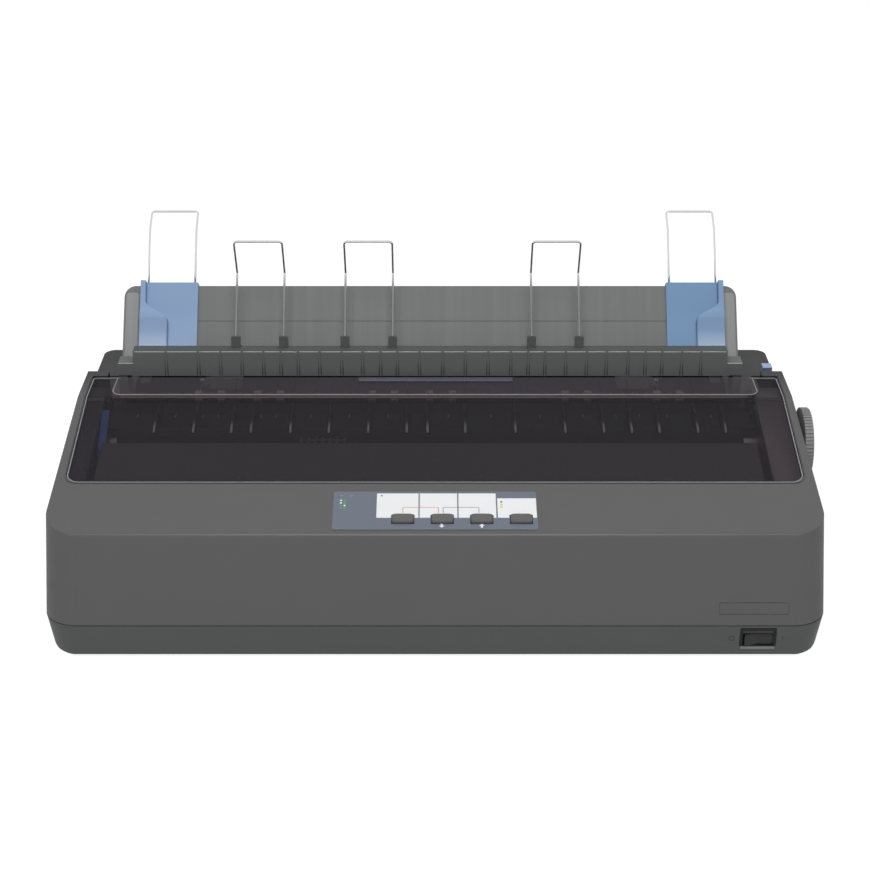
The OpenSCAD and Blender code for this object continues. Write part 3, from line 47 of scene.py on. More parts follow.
camera.data.clip_end = 50
camera.location = (0, -1.453, 0.787)
camera.rotation_euler = (math.radians(65), 0, 0)
bpy.context.scene.collection.objects.link(camera)
bpy.context.scene.camera = camera


# ---- Case ---------------------------------------------------------------------------------
# Two halves moulded in grey ABS with a fine spark-eroded grain. The lower one is a shade darker.
# They meet at the seam above the feet and are held by four long screws from below.
class Flow:
    """A socket of a finish. Sums, differences and products of it add their Math nodes."""

    def __init__(self, finish, socket):
        self.finish, self.socket = finish, socket

    def math(self, operation, first, second):
        return self.finish.node("Math", {"operation": operation}, {0: first, 1: second})

    def __add__(self, other):
        return self.math("ADD", self, other)

    def __radd__(self, other):
        return self.math("ADD", other, self)

    def __sub__(self, other):
        return self.math("SUBTRACT", self, other)

    def __rsub__(self, other):
        return self.math("SUBTRACT", other, self)

    def __mul__(self, other):
        return self.math("MULTIPLY", self, other)

    def __rmul__(self, other):
        return self.math("MULTIPLY", other, self)


class Finish:
    """The nodes of a material, or of the surround where that is given. node() adds a node of any kind:
    its settings first, then the values or links of its sockets."""

    def __init__(self, name, holder=None):
        self.holder = holder or bpy.data.materials.new(name)
        self.holder.use_nodes = True
        self.tree = self.holder.node_tree
        self.tree.nodes.clear()

    def node(self, kind, settings=None, sockets=None, out=0):
        made = self.tree.nodes.new("ShaderNode" + kind)
        for key, value in (settings or {}).items():
            setattr(made, key, value)
        for key, value in (sockets or {}).items():
            if isinstance(value, Flow):
                self.tree.links.new(value.socket, made.inputs[key])
            else:
                made.inputs[key].default_value = value
        return Flow(self, made.outputs[out]) if made.outputs else None

    def tinted(self, colour, tone):
        """A colour times a tone that varies over the surface."""
        settings = {"data_type": "RGBA", "blend_type": "MULTIPLY"}
        return self.node("Mix", settings, {0: 1.0, 6: colour, 7: tone}, 2)

    def turned(self, place, colour, turn):
        """The colour, which runs into another between two places on an axis, in metres. A turn is the
        number of the axis, where it starts, where it stops and the other colour."""
        if turn is None:
            return colour
        axis, start, stop, other = turn
        along = self.node("SeparateXYZ", None, {0: place}, axis)
        share = self.node("MapRange", None, {"Value": along, "From Min": start, "From Max": stop})
        return self.node("Mix", {"data_type": "RGBA"}, {0: share, 6: colour, 7: other}, 2)

    def done(self, shader):
        self.node("OutputMaterial", None, {"Surface": shader})
        return self.holder


def tint(red, green, blue):
    """A colour as a painter's chart gives it, 0 to 255, as shares of light."""
    return tuple(((c / 255 + 0.055) / 1.055) ** 2.4 if c > 10 else c / 255 / 12.92
                 for c in (red, green, blue)) + (1.0,)


def moulded(name, colour, roughness=0.58, grain=1600.0, depth=0.00006, mottle=0.08, shine=0.25, speck=0.06,
            turn=None):
    """Moulded plastic. The grain is a fine noise in the bump, the tone drifts over a hand's breadth, fine
    specks vary the colour, and handled patches are a little smoother."""
    finish = Finish(name)
    place = finish.node("TexCoord", None, None, "Object")
    broad = finish.node("TexNoise", None, {"Vector": place, "Scale": 7.0, "Detail": 4.0, "Roughness": 0.6})
    fine = finish.node("TexNoise", None, {"Vector": place, "Scale": grain, "Detail": 2.0, "Roughness": 0.6})
    rub = finish.node("TexNoise", None, {"Vector": place, "Scale": 31.0, "Detail": 5.0, "Roughness": 0.7})
    tone = 1.0 + (broad - 0.5) * mottle + (fine - 0.5) * speck
    return finish.done(finish.node("BsdfPrincipled", None, {
        "Base Color": finish.tinted(finish.turned(place, colour, turn), tone),
        "Roughness": (rub - 0.5) * 0.22 + roughness,
        "Specular IOR Level": shine,
        "Normal": finish.node("Bump", None, {"Strength": 0.5, "Distance": depth, "Height": fine}),
    }))


def dress(material, *names):
    """Gives CAD nodes their finish."""
    for name in names:
        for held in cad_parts[name].material_slots:
            held.material = material


# Painted shade: the level rim and shoulder behind the deck are painted darker than the deck, which faces the
# light.
dress(moulded("case_upper_grey_painted_shade", tint(101, 102, 101), turn=(1, 0.004, 0.06, tint(62, 63, 62))), "upper_case")
dress(moulded("case_lower_grey", tint(92, 94, 93)), "lower_case")

FRAME_BACK = 164  # the frame's origin lies this far behind the front top edge of the deck


def placed(points):
    """Millimetres from the front top edge of the deck, as metres in the shared frame."""
    return (np.asarray(points, float) - (0, FRAME_BACK, 0)) / 1000


def lattice(rows, columns):
    """Four-sided faces between rings of points, each ring joined to the next and closed on itself."""
    i, j = np.meshgrid(np.arange(rows - 1), np.arange(columns), indexing="ij")
    i, j = i.ravel(), j.ravel()
    m = (j + 1) % columns
    near, far = i * columns, (i + 1) * columns
    return np.stack([near + j, near + m, far + m, far + j], 1).tolist()


def put_solid(name, rings, material, body, smooth=True, clockwise=False):
    """A closed piece from rings of points in millimetres, on its body and with its slot: each ring is
    joined to the next, and a face lies over each end. Rings that run clockwise on their way up have their
    faces turned."""
    rows, columns = rings.shape[:2]
    first, last = list(range(columns)), list(range((rows - 1) * columns, rows * columns))
    faces = lattice(rows, columns) + [first[::-1], last]
    mesh = bpy.data.meshes.new(name)
    mesh.from_pydata(placed(rings.reshape(-1, 3)).tolist(), [], [f[::-1] if clockwise else f for f in faces])
    mesh.polygons.foreach_set("use_smooth", np.full(len(mesh.polygons), smooth))
    mesh.materials.append(material)
    made = bmesh.new()
    made.from_mesh(mesh)
    bmesh.ops.recalc_face_normals(made, faces=made.faces)
    made.to_mesh(mesh)
    made.free()
    piece = bpy.data.objects.new(name, mesh)
    bpy.context.scene.collection.objects.link(piece)
    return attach(piece, body)


def swept(path, profile, ahead):
    """A profile carried along a path: at each point it lies across the path's direction, with its first
    axis along the part of `ahead` that is square to that direction. Returns rings of points."""
    along = np.gradient(path, axis=0)
    along /= np.linalg.norm(along, axis=1)[:, None]
    first = ahead - (along @ ahead)[:, None] * along
    first /= np.linalg.norm(first, axis=1)[:, None]
    second = np.cross(along, first)
    return path[:, None] + profile[None, :, :1] * first[:, None] + profile[None, :, 1:] * second[:, None]


def rod(name, path, profile, ahead, material, body):
    """A solid with one profile along a path."""
    rings = swept(path, profile, np.asarray(ahead, float))
    return put_solid(name, rings, material, body, clockwise=True)


def ellipse(across, up, points):
    """Points round an ellipse: across times the cosine and up times the sine of equal steps of a turn."""
    t = np.arange(points) * 2 * np.pi / points
    return np.stack([across * np.cos(t), up * np.sin(t)], 1)


def line_across(x0, x1, back, height):
    """A straight line across the machine."""
    return np.array([(x0, back, height), (x1, back, height)])


# A lighter bead on the rounded front edge of the deck is a painted highlight, where the edge catches the
# light.
deck_edge_painted_highlight = moulded("painted_edge_highlight", tint(126, 127, 126), 0.4)
rod("deck_front_edge_highlight", line_across(-273.0, 273.0, 0.83, 103.23), ellipse(0.75, 0.1, 8), (0, 0.66, 0.75),
    deck_edge_painted_highlight, "case")


# ---- Lid ----------------------------------------------------------------------------------
# One sheet of smoke-tinted clear polycarbonate that follows the deck and bends to the level rim,
# hinged on two pegs near its back edge, with a raised clear strip where the paper comes out.
def smoked(name, colour, cover, shine, gloss=0.5):
    """Tinted clear plastic. Part of the light passes straight through and the rest is the tint. Hairline
    rubbing runs through the roughness, and the cover drifts a little over a hand's breadth."""
    finish = Finish(name)
    place = finish.node("TexCoord", None, None, "Object")
    hairs = finish.node("Mapping", None, {"Vector": place, "Scale": (4.0, 240.0, 4.0)})
    drift = finish.node("TexNoise", None, {"Vector": place, "Scale": 5.0, "Detail": 3.0})
    streak = finish.node("TexNoise", None, {"Vector": hairs, "Scale": 1.0, "Detail": 2.0})
    return finish.done(finish.node("BsdfPrincipled", None, {
        "Base Color": finish.tinted(colour, 0.85 + drift * 0.3),
        "Roughness": 0.06 + streak * 0.08,
        "IOR": shine,
        "Specular IOR Level": gloss,
        "Alpha": cover + (drift - 0.5) * 0.05,
    }))


# A weak gloss keeps the white surround from veiling what lies under the lid.
dress(smoked("lid_smoke", tint(61, 59, 63), 0.36, 1.2, 0.08), "printer_cover")
dress(smoked("strip_clear", tint(132, 124, 134), 0.17, 1.2, 0.1), "exit_strip")
# A pale clear plastic that paints the highlights along the edges of the lid and the strip.
lid_painted_highlight = smoked("lid_edge_painted_highlight", tint(186, 186, 196), 0.75, 1.3, 0.3)

SLOPE = math.radians(11.5)
DECK_FRONT_HEIGHT = 104
LID_LEVEL, LID_BEND = 139.6, 178.6  # height of the lid's level part, and how far up the slope the bend is


def on_deck(across, up_slope, out):
    """Across the machine, up the slope of the deck and out of it, as millimetres of the machine: the last
    two are turned by the slope about the front top edge."""
    up_slope, out = np.asarray(up_slope), np.asarray(out)
    back = up_slope * math.cos(SLOPE) - out * math.sin(SLOPE)
    height = DECK_FRONT_HEIGHT + up_slope * math.sin(SLOPE) + out * math.cos(SLOPE)
    return np.stack(np.broadcast_arrays(across, back, height), -1)


def on_level(across, back, height):
    """Across, back and height, as points in millimetres."""
    return np.stack(np.broadcast_arrays(across, back, height), -1)


def bent_path(corners, radius, steps=8):
    """A line through corners, each rounded to an arc: the arc's centre lies on the corner's bisector."""
    corners = np.asarray(corners, float)
    u, v = corners[:-2] - corners[1:-1], corners[2:] - corners[1:-1]
    u, v = u / np.linalg.norm(u, axis=1)[:, None], v / np.linalg.norm(v, axis=1)[:, None]
    half = np.arccos(np.clip((u * v).sum(1), -1, 1)) / 2
    middle = u + v
    inward = middle / np.linalg.norm(middle, axis=1)[:, None]
    centre = corners[1:-1] + inward * (radius / np.sin(half))[:, None]
    start, stop = (corners[1:-1] + w * (radius / np.tan(half))[:, None] - centre for w in (u, v))
    turn = np.pi - 2 * half
    t = np.linspace(0, 1, steps)[None, :, None]
    angle = turn[:, None, None]
    arcs = (np.sin((1 - t) * angle) * start[:, None] + np.sin(t * angle) * stop[:, None]) / np.sin(angle)
    return np.vstack([corners[:1], (centre[:, None] + arcs).reshape(-1, 3), corners[-1:]])


def round_the_lid(half, front, back, out):
    """A line round the lid, or round its pocket: from the back left corner along the level part, down the
    deck, across the front and up the other side. The bend and the front corners have wide arcs, the back
    corners small ones. The right half mirrors the left."""
    bend, corner = on_deck(np.array([-half, -half]), np.array([LID_BEND, front]), out)
    level = LID_LEVEL + out
    wide = bent_path([(-half, 201.0, level), bend, corner, on_deck(0.0, front, out)], 10.0, 10)
    small = bent_path([(-half + 22, back, level), (-half, back, level), (-half, 203.0, level)], 2.5, 6)
    left = np.vstack([small, wide[1:]])
    return np.vstack([left, left[-2::-1] * (-1, 1, 1)])


# A lighter bead along the edge of the lid, on its sides, its front and the ends of its back, is a painted
# highlight.
rod("lid_edge", round_the_lid(285.6, 63.75, 212.3, -0.4), ellipse(0.5, 0.6, 10), (0.1, -0.2, 1), lid_painted_highlight,
    "lid")

# Painted highlights along the front edge of the strip with its rounded corners, and along the foot where it
# meets the lid.
STRIP_HALF, STRIP_FRONT, STRIP_BACK, STRIP_TOP = 265.4, 175.5, 209.0, 140.6
strip_line = bent_path([(-STRIP_HALF, STRIP_BACK, STRIP_TOP), (-STRIP_HALF, STRIP_FRONT, STRIP_TOP),
                        (STRIP_HALF, STRIP_FRONT, STRIP_TOP), (STRIP_HALF, STRIP_BACK, STRIP_TOP)], 8.0, 10)
rod("strip_edge", strip_line, ellipse(0.4, 0.6, 10), (0, 0, 1), lid_painted_highlight, "lid")
rod("strip_foot_line", line_across(-258.0, 258.0, 174.9, 138.6), ellipse(0.3, 0.3, 8), (0, 0, 1), lid_painted_highlight,
    "lid")

# Fine stiffening ribs in the strip, which show as dark lines through it, and a dark line of painted shade
# where the lid bends.
rib_dark = moulded("rib_dark", tint(30, 28, 32), 0.5)
LONG_RIBS = (-227.8, -165.1, -117.2, -86.0, -54.1, -22.9, -6.1, 24.6, 65.2, 136.9, 159.4, 213.1)
SHORT_RIBS = (-207.0, -149.2, -101.0, -70.0, -38.5, 44.5, 84.0, 120.0, 148.0, 172.0, 190.0, 226.0)
for kind, places, back in (("long", LONG_RIBS, 206.0), ("short", SHORT_RIBS, 188.0)):
    for number, x in enumerate(places):
        rod(f"strip_rib_{kind}_{number + 1}", np.array([(x, 177.5, 141.1), (x, back, 141.1)]),
            ellipse(0.35, 0.3, 6), (1, 0, 0), rib_dark, "lid")
rod("lid_bend_painted_shade", line_across(-281.0, 281.0, 168.5, 138.15), ellipse(0.4, 0.12, 6), (0, 1, 0.2), rib_dark,
    "lid")


def rounded_outline(width, depth, radius):
    """Points round a rectangle with round corners: four quarter circles, each about its own corner
    centre."""
    t = np.linspace(0, np.pi / 2, 6)
    quarter = np.stack([np.cos(t), np.sin(t)], 1) * radius
    parts = []
    for sx, sy in ((1, 1), (-1, 1), (-1, -1), (1, -1)):
        turn = quarter if sx * sy > 0 else quarter[::-1]
        parts.append(np.stack([sx * (width / 2 - radius) + turn[:, 0] * sx,
                               sy * (depth / 2 - radius) + turn[:, 1] * sy], 1))
    return np.vstack(parts)


def plate(name, centre, size, radius, steps, lay, material, body, smooth=True):
    """A plate with round corners and a shaped edge. Each step is (inset, height): the outline shrinks by
    the inset at that height. `lay` turns across, up and out into millimetres of the machine."""
    rings = []
    for inset, height in steps:
        ring = rounded_outline(size[0] - 2 * inset, size[1] - 2 * inset, max(radius - inset, 0.05))
        rings.append(lay(centre[0] + ring[:, 0], centre[1] + ring[:, 1], height))
    return put_solid(name, np.stack(rings), material, body, smooth)


# Painted highlights: the face of the moulded pull at the back of the strip and two tabs at the lid's front
# corners are painted light, where they catch the light.
pull_painted_highlight = smoked("pull_painted_highlight", tint(128, 128, 144), 0.5, 1.45)
plate("finger_pull_face", (0.5, 204.2), (128.0, 7.0), 0.8, [(0.0, 141.62), (0.0, 141.95), (0.3, 142.1)],
    on_level, pull_painted_highlight, "lid")
tab_painted_highlight = moulded("tab_painted_highlight", tint(96, 93, 98), 0.5)
for side, x in (("left", -269.0), ("right", 256.0)):
    plate(f"front_tab_{side}", (x, 67.3), (9.0, 3.0), 0.5, [(0.0, -3.2), (0.0, -2.75)],
        on_deck, tab_painted_highlight, "lid")

# ---- Pocket of the lid --------------------------------------------------------------------
# The case has a pocket that the lid lies in, with a gap round it marked by a dark line of painted shade.
# Through the lid show the ledges beside the opening, each with a thin liner of brown-grey felt.
gap_painted_shade = moulded("gap_painted_shade", tint(20, 20, 20), 0.8)
rod("lid_gap_line", round_the_lid(287.35, 61.9, 215.9, 0.0), ellipse(0.5, 0.06, 8), (0, -0.2, 1), gap_painted_shade,
    "case")
for side, x0, x1, shade in (("left", -285.0, -272.3, (84, 80, 87)), ("right", 263.3, 285.0, (146, 132, 136))):
    felt = moulded(f"liner_{side}", tint(*shade), 0.8, 500.0, 0.0001, 0.2, 0.1, 0.3)
    middle, width = (x0 + x1) / 2, x1 - x0
    plate(f"ledge_liner_{side}", (middle, 120.5), (width, 111.0), 1.0, [(0.0, -3.02), (0.0, -2.86)],
        on_deck, felt, "case")
    plate(f"ledge_liner_{side}_back", (middle, 188.0), (width, 20.0), 1.0, [(0.0, 136.59), (0.0, 136.75)],
        on_level, felt, "case")

# ---- Sound pad ----------------------------------------------------------------------------
# A thin sheet of black foam stuck under the front half of the lid, with a pebbled skin.
foam = moulded("black_foam", tint(90, 87, 91), 0.9, 420.0, 0.0006, 0.2, 0.2, 0.5)
sound_pad = plate("sound_pad_foam", (-4.5, 93.3), (522, 51.0), 2.0,
    [(0.0, -6.4), (0.0, -3.6), (0.6, -3.05), (1.6, -2.95)], on_deck, foam, "lid")
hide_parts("sound_pad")

# ---- Control label ------------------------------------------------------------------------
# A printed polyester film on the deck: slate blue with four white fields, one behind each key,
# thin coloured brackets that join keys, and small lamp windows at the left.
dress(moulded("label_slate", tint(111, 119, 133), 0.46, 900.0, 0.00002, 0.05, 0.5, 0.05), "control_label")
ink = {name: moulded("ink_" + name, tint(*shade), 0.45, 900.0, 0.00001, 0.03, 0.4, 0.03) for name, shade in {
    "white": (253, 254, 255), "red": (224, 122, 122), "blue": (110, 140, 182), "green": (96, 190, 84),
    "yellow": (226, 214, 110), "grey": (140, 145, 152), "dark": (70, 76, 86)}.items()}
FIELD_INK, MARK_INK = 0.66, 0.72  # heights of the print over the deck: marks lie on the fields


def printed(name, shade, x0, x1, y0, y1, height=FIELD_INK):
    """A patch of ink on the label between two places across and two up the slope."""
    return plate(name, ((x0 + x1) / 2, (y0 + y1) / 2), (x1 - x0, y1 - y0), 0.15,
        [(0.0, height - 0.1), (0.0, height)], on_deck, ink[shade], "case", False)


# Left and right edges of each field. Beside its key the print goes on, and it stops short of the
# key, which sinks through the label.
KEY_PLACES = [-24.3 + number * 29.8 for number in range(4)]
for number, (x0, x1) in enumerate([(-44.4, -12.6), (-11.6, 16.9), (17.9, 46.4), (47.5, 77.0)]):
    key = KEY_PLACES[number]
    printed(f"field_{number + 1}", "white", x0, x1, 22.6, 48.6 if number < 3 else 42.6)
    printed(f"field_{number + 1}_left", "white", x0, key - 8.9, 19.0, 22.6)
    printed(f"field_{number + 1}_right", "white", key + 8.9, x1, 19.0, 22.6)
for name, shade, *edges in [
    ("bracket_red_top", "red", -24.6, 2.9, 31.2, 31.7),
    ("bracket_red_left", "red", -24.6, -24.1, 24.5, 31.7),
    ("bracket_red_right", "red", 2.4, 2.9, 24.5, 31.7),
    ("bracket_blue_top", "blue", 6.0, 33.6, 31.2, 31.7),
    ("bracket_blue_left", "blue", 6.0, 6.5, 24.5, 31.7),
    ("bracket_blue_right", "blue", 33.1, 33.6, 24.5, 31.7),
    ("mark_field_1", "grey", -41.6, -39.9, 45.0, 46.4),
    ("mark_field_4", "dark", 49.6, 51.2, 37.4, 38.9),
    ("mark_yellow_1", "yellow", 49.4, 51.4, 34.0, 35.6),
    ("mark_yellow_2", "yellow", 49.4, 51.4, 31.2, 32.8),
]:
    printed(name, shade, *edges, MARK_INK)
LAMP_SHADES = [("white", "green"), ("white", "green"), ("green", "white"), ("green", "green")]
for row, shades in enumerate(LAMP_SHADES):
    for column, shade in enumerate(shades):
        aside, down = column * 2.9, row * 3.1
        printed(f"lamp_mark_{row}_{column}", shade, -72.5 + aside, -71.0 + aside, 39.2 - down, 40.7 - down,
            MARK_INK)
for column in range(2):
    printed(f"lamp_{column + 1}", "grey", -72.6 + column * 7.2, -70.2 + column * 7.2, 44.8, 46.3, MARK_INK)

# Two small arrows between the keys and the deck's front edge: seven corners of a stem and a head.
ARROW = 4.4 * np.array([(-0.18, -0.5), (0.18, -0.5), (0.18, 0.0), (0.5, 0.0),
                        (0.0, 0.5), (-0.5, 0.0), (-0.18, 0.0)])
for name, x, way in (("arrow_down", 5.0, -1), ("arrow_up", 35.2, 1)):
    faces = [on_deck(x + ARROW[:, 0], 9.4 + ARROW[:, 1] * way, height) for height in (0.58, 0.7)]
    put_solid(name, np.stack(faces), ink["white"], "case", False)

# ---- Keys ---------------------------------------------------------------------------------
# Four soft-edged keys moulded in grey ABS. Each has a crowned top, and a flange under the deck.
key_grey = moulded("key_grey", tint(107, 107, 106), 0.6, 1400.0, 0.00004, 0.06)
for number, x in enumerate(KEY_PLACES):
    dress(key_grey, f"button_{number + 1}")
    plate(f"key_crown_{number + 1}", (x, 17.0), (16.6, 10.0), 3.2,
        [(0.0, 1.4), (0.02, 2.0), (0.35, 2.55), (1.1, 2.95), (2.4, 3.15), (3.8, 3.22)], on_deck, key_grey,
        f"button_{number + 1}")

# ---- Power switch -------------------------------------------------------------------------
# A black rocker in a black housing, set in the front of the lower case between its two marks.
dress(moulded("rocker_black", tint(52, 52, 53), 0.4, 1200.0, 0.00002, 0.1), "power_rocker")
dress(moulded("housing_black", tint(26, 26, 26), 0.5, 1200.0, 0.00003, 0.1), "switch_housing")
SEAM_HEIGHT, SEAM_FRONT = 28, -5.98
LOWER_LEAN = 0.6 / 26  # the front draws in by 0.6 mm over its 26 mm


def on_lower_front(across, up, out):
    """Across, height above the floor and out of the leaning front of the lower case, as millimetres."""
    back = SEAM_FRONT + (SEAM_HEIGHT - np.asarray(up)) * LOWER_LEAN - np.asarray(out)
    return np.stack(np.broadcast_arrays(across, back, up), -1)


# The off mark is a ring and the on mark a short stroke.
mark_grey = moulded("mark_grey", tint(60, 61, 61), 0.6)
turn = np.linspace(0, 2 * np.pi, 33)[:-1]
for name, across, up in (("mark_off", 226.5 + 1.9 * np.cos(turn), 17.5 + 1.9 * np.sin(turn)),
                         ("mark_on", np.array([265.6, 265.6]), np.array([15.6, 19.4]))):
    rod(name, on_lower_front(across, up, 0.05), ellipse(0.22, 0.22, 6), (0, -1, 0.17), mark_grey, "case")

# A black surround frames the rocker up to the seam. Its lower edge is a chamfer painted light grey as a
# painted highlight.
surround = moulded("surround_black", tint(27, 27, 27), 0.45, 1200.0, 0.00003, 0.1)
chamfer = moulded("chamfer_painted_highlight", tint(146, 147, 147), 0.5)
for name, x0, x1, z0, z1, material in (
    ("surround_top", 232.6, 260.4, 23.6, 26.6, surround),
    ("surround_left", 232.6, 235.0, 11.4, 23.6, surround),
    ("surround_right", 258.0, 260.4, 11.4, 23.6, surround),
    ("surround_chamfer", 233.4, 259.6, 8.0, 10.6, chamfer),
):
    plate(name, ((x0 + x1) / 2, (z0 + z1) / 2), (x1 - x0, z1 - z0), 0.5,
        [(0.0, -0.2), (0.0, 0.12), (0.25, 0.2)], on_lower_front, material, "case")

# ---- Ribbed bar ---------------------------------------------------------------------------
# A grey moulding behind the lid with fine ribs, the sockets of the wires and low end steps.
# Painted shade: the bar's top is painted darker than its face, and dark lines of painted shade run beside
# each rib.
dress(moulded("bar_grey_painted_shade", tint(112, 114, 113), turn=(2, 0.1606, 0.1612, tint(88, 90, 89))), "ribbed_bar")
shade_line = moulded("bar_shade", tint(98, 100, 99), 0.7)
bar_painted_highlight = moulded("bar_edge_painted_highlight", tint(222, 224, 223), 0.4)
BAR_RIBS = (-225, -198, -179.5, -161.5, -143.5, -129, -114.5, -96.5, -78, -60.5, -45.5, -31.5, -13, 6.5, 25.5,
            44.5, 63.5, 78, 92, 109.5, 127, 143.5, 161.5, 176, 190, 206.5, 222.5)
for number, x in enumerate(BAR_RIBS):
    for side, aside in (("left", -1.1), ("right", 1.1)):
        ends = np.array([(x + aside, 215.95, 140.6), (x + aside, 215.95, 160.2)])
        rod(f"bar_shade_{number + 1}_{side}", ends, ellipse(0.3, 0.12, 6), (1, 0, 0), shade_line,
            "case")
# Painted highlights: the rounded top edge between the ribs and the edges of the end steps are painted light,
# where they catch the light.
marks = np.array([-252.3, *BAR_RIBS, 244.3])
for number, (x0, x1) in enumerate(zip(marks[:-1] + 1.0, marks[1:] - 1.0)):
    rod(f"bar_edge_{number + 1}", line_across(x0, x1, 216.42, 161.58), ellipse(0.3, 0.3, 8), (0, 0, 1),
        bar_painted_highlight, "case")
for side, x0, x1 in (("left", -265.5, -252.8), ("right", 244.8, 257.5)):
    rod(f"step_edge_{side}", line_across(x0, x1, 217.1, 150.9), ellipse(0.3, 0.3, 8), (0, 0, 1), bar_painted_highlight,
        "case")

# ---- Sheet guide --------------------------------------------------------------------------
# A leaning panel of light grey plastic that holds cut sheets, with faint flow lines down its face.
LEAN = math.radians(37)
PIVOT_BACK, PIVOT_HEIGHT = 237, 138


def on_sheet(across, depth, up):
    """Across, through the panel and up its lean, as millimetres: the last two are turned by the lean
    about the pivot."""
    depth, up = np.asarray(depth, float), np.asarray(up, float)
    back = PIVOT_BACK + depth * math.cos(LEAN) + up * math.sin(LEAN)
    height = PIVOT_HEIGHT - depth * math.sin(LEAN) + up * math.cos(LEAN)
    return np.stack(np.broadcast_arrays(np.asarray(across, float), back, height), -1)


def streaked(name, colour, roughness):
    """Light plastic whose tone varies in fine lines up the panel and drifts from side to side."""
    finish = Finish(name)
    place = finish.node("TexCoord", None, None, "Object")
    upright = finish.node("Mapping", None, {"Vector": place, "Scale": (170.0, 4.0, 4.0)})
    lines = finish.node("TexNoise", None, {"Vector": upright, "Scale": 1.0, "Detail": 3.0})
    broad = finish.node("TexNoise", None, {"Vector": place, "Scale": 6.0, "Detail": 3.0})
    fine = finish.node("TexNoise", None, {"Vector": place, "Scale": 1500.0, "Detail": 2.0})
    return finish.done(finish.node("BsdfPrincipled", None, {
        "Base Color": finish.tinted(colour, 1.0 + (lines - 0.5) * 0.22 + (broad - 0.5) * 0.12),
        "Roughness": (broad - 0.5) * 0.2 + roughness,
        "Normal": finish.node("Bump", None, {"Strength": 0.5, "Distance": 0.00005, "Height": fine}),
    }))


dress(streaked("panel_grey", tint(124, 125, 125), 0.5), "sheet_guide")
# Paler strips along both ends of its face.
pale_grey = streaked("panel_edge_grey", tint(154, 154, 154), 0.5)
for side, x in (("left", -258.0), ("right", 250.0)):
    plate(f"panel_edge_{side}", (x, 35.0), (11.0, 60.0), 3.0, [(0.0, 5.75), (0.0, 5.95), (0.4, 6.1)],
        lambda across, up, out: on_sheet(across, -out, up), pale_grey, "sheet_guide")


# ---- Edge guides --------------------------------------------------------------------------
# Two light blue sliders that grip the panel's top edge. Each has a raised fence for the sheet.
def blue_plastic(name, colour, roughness, stop, above):
    """Smooth blue plastic that turns from one tone to another on its way up, from 152 mm above the floor
    to a given height in metres."""
    return moulded(name, tint(*colour), roughness, 1300.0, 0.00004, 0.06, turn=(2, 0.152, stop, tint(*above)))


sky_blue = blue_plastic("guide_blue", (166, 188, 222), 0.46, 0.182, (148, 173, 207))
dress(sky_blue, "edge_guide_left")
# The right guide is the same blue plastic as the left, painted a darker copy as painted shade.
dress(blue_plastic("guide_blue_right_painted_shade", (136, 168, 203), 0.46, 0.182, (130, 161, 196)), "edge_guide_right")
LEFT_GUIDE, RIGHT_GUIDE = -226.0, 221.0  # where the guides' middles stand across the machine


OUTER_WALL = 24.2  # from a guide's middle to its fence's outer wall
GUIDE_FACE = 8.6  # from the pivot to the guide's face


def fence(side, middle, way, material):
    """The raised fence of an edge guide. Its inner edge follows given places up the panel: wide at the
    bottom, narrow above its shoulder. It stands 7.2 mm out of the guide's face at the bottom of its scoop
    and rises by a parabola to 1.9 mm more at the shoulder, and above that it falls back to 7.2 mm in a
    straight line. The ring at each height goes up the outer wall, over the face with rounded edges, and
    down the inner wall."""
    up = np.linspace(9.3, 73.1, 66)
    inner = np.interp(up, (9, 38, 41, 43.5, 47, 51.5, 54, 74), (23.6, 23.6, 22.6, 19.8, 13.4, 6.6, 4.8, 4.6))
    rise = np.where(up < 46, np.clip((up - 24.0) / 16, -1, 1) ** 2, np.clip((50 - up) / 10, 0, 1))
    high = 7.2 + 1.9 * rise
    t = np.linspace(0, np.pi / 2, 5)
    rounding = np.stack([1.2 * (1 - np.cos(t)), -1.2 * (1 - np.sin(t))], 1)
    foot = np.full((len(up), 1), 0.1)
    across = np.concatenate([np.zeros((len(up), 1)), np.tile(rounding[:, 0], (len(up), 1)),
        inner[:, None] - rounding[::-1, 0], inner[:, None]], 1)
    out = np.concatenate([foot, high[:, None] + rounding[:, 1], high[:, None] + rounding[::-1, 1], foot], 1)
    rings = on_sheet(middle + way * (OUTER_WALL - across), -GUIDE_FACE - out,
        np.broadcast_to(up[:, None], across.shape))
    put_solid(f"fence_{side}", rings, material, f"edge_guide_{side}")


# Both fences are of the guides' blue plastic, painted a lighter blue as a painted highlight on their raised
# faces.
fence("left", LEFT_GUIDE, -1,
    blue_plastic("fence_left_painted_highlight", (204, 217, 238), 0.42, 0.171, (150, 174, 208)))
fence("right", RIGHT_GUIDE, 1,
    blue_plastic("fence_right_painted_highlight", (200, 214, 236), 0.42, 0.171, (140, 167, 202)))


# ---- Wires --------------------------------------------------------------------------------
# Bright chromed steel wire, 2 mm thick: two in the edge guides bend back near the top, and three
# in the bar's sockets bend forward.
def bright_metal(name, colour, roughness, brushed=False, turn=None):
    """Plated or ground metal: fine noise drives the roughness and a faint bump. Brushed metal has it in
    lines."""
    finish = Finish(name)
    place = finish.node("TexCoord", None, None, "Object")
    stretch = finish.node("Mapping", None, {
        "Vector": place, "Scale": (60.0, 900.0, 900.0) if brushed else (500.0, 500.0, 500.0)})
    fine = finish.node("TexNoise", None, {"Vector": stretch, "Scale": 1.0, "Detail": 3.0})
    broad = finish.node("TexNoise", None, {"Vector": place, "Scale": 18.0, "Detail": 3.0})
    return finish.done(finish.node("BsdfPrincipled", None, {
        "Base Color": finish.tinted(finish.turned(place, colour, turn), 0.9 + broad * 0.2),
        "Metallic": 1.0,
        "Roughness": roughness + (fine - 0.5) * 0.15 + (broad - 0.5) * 0.1,
        "Normal": finish.node("Bump", None, {"Strength": 0.3, "Distance": 0.00004, "Height": fine}),
    }))


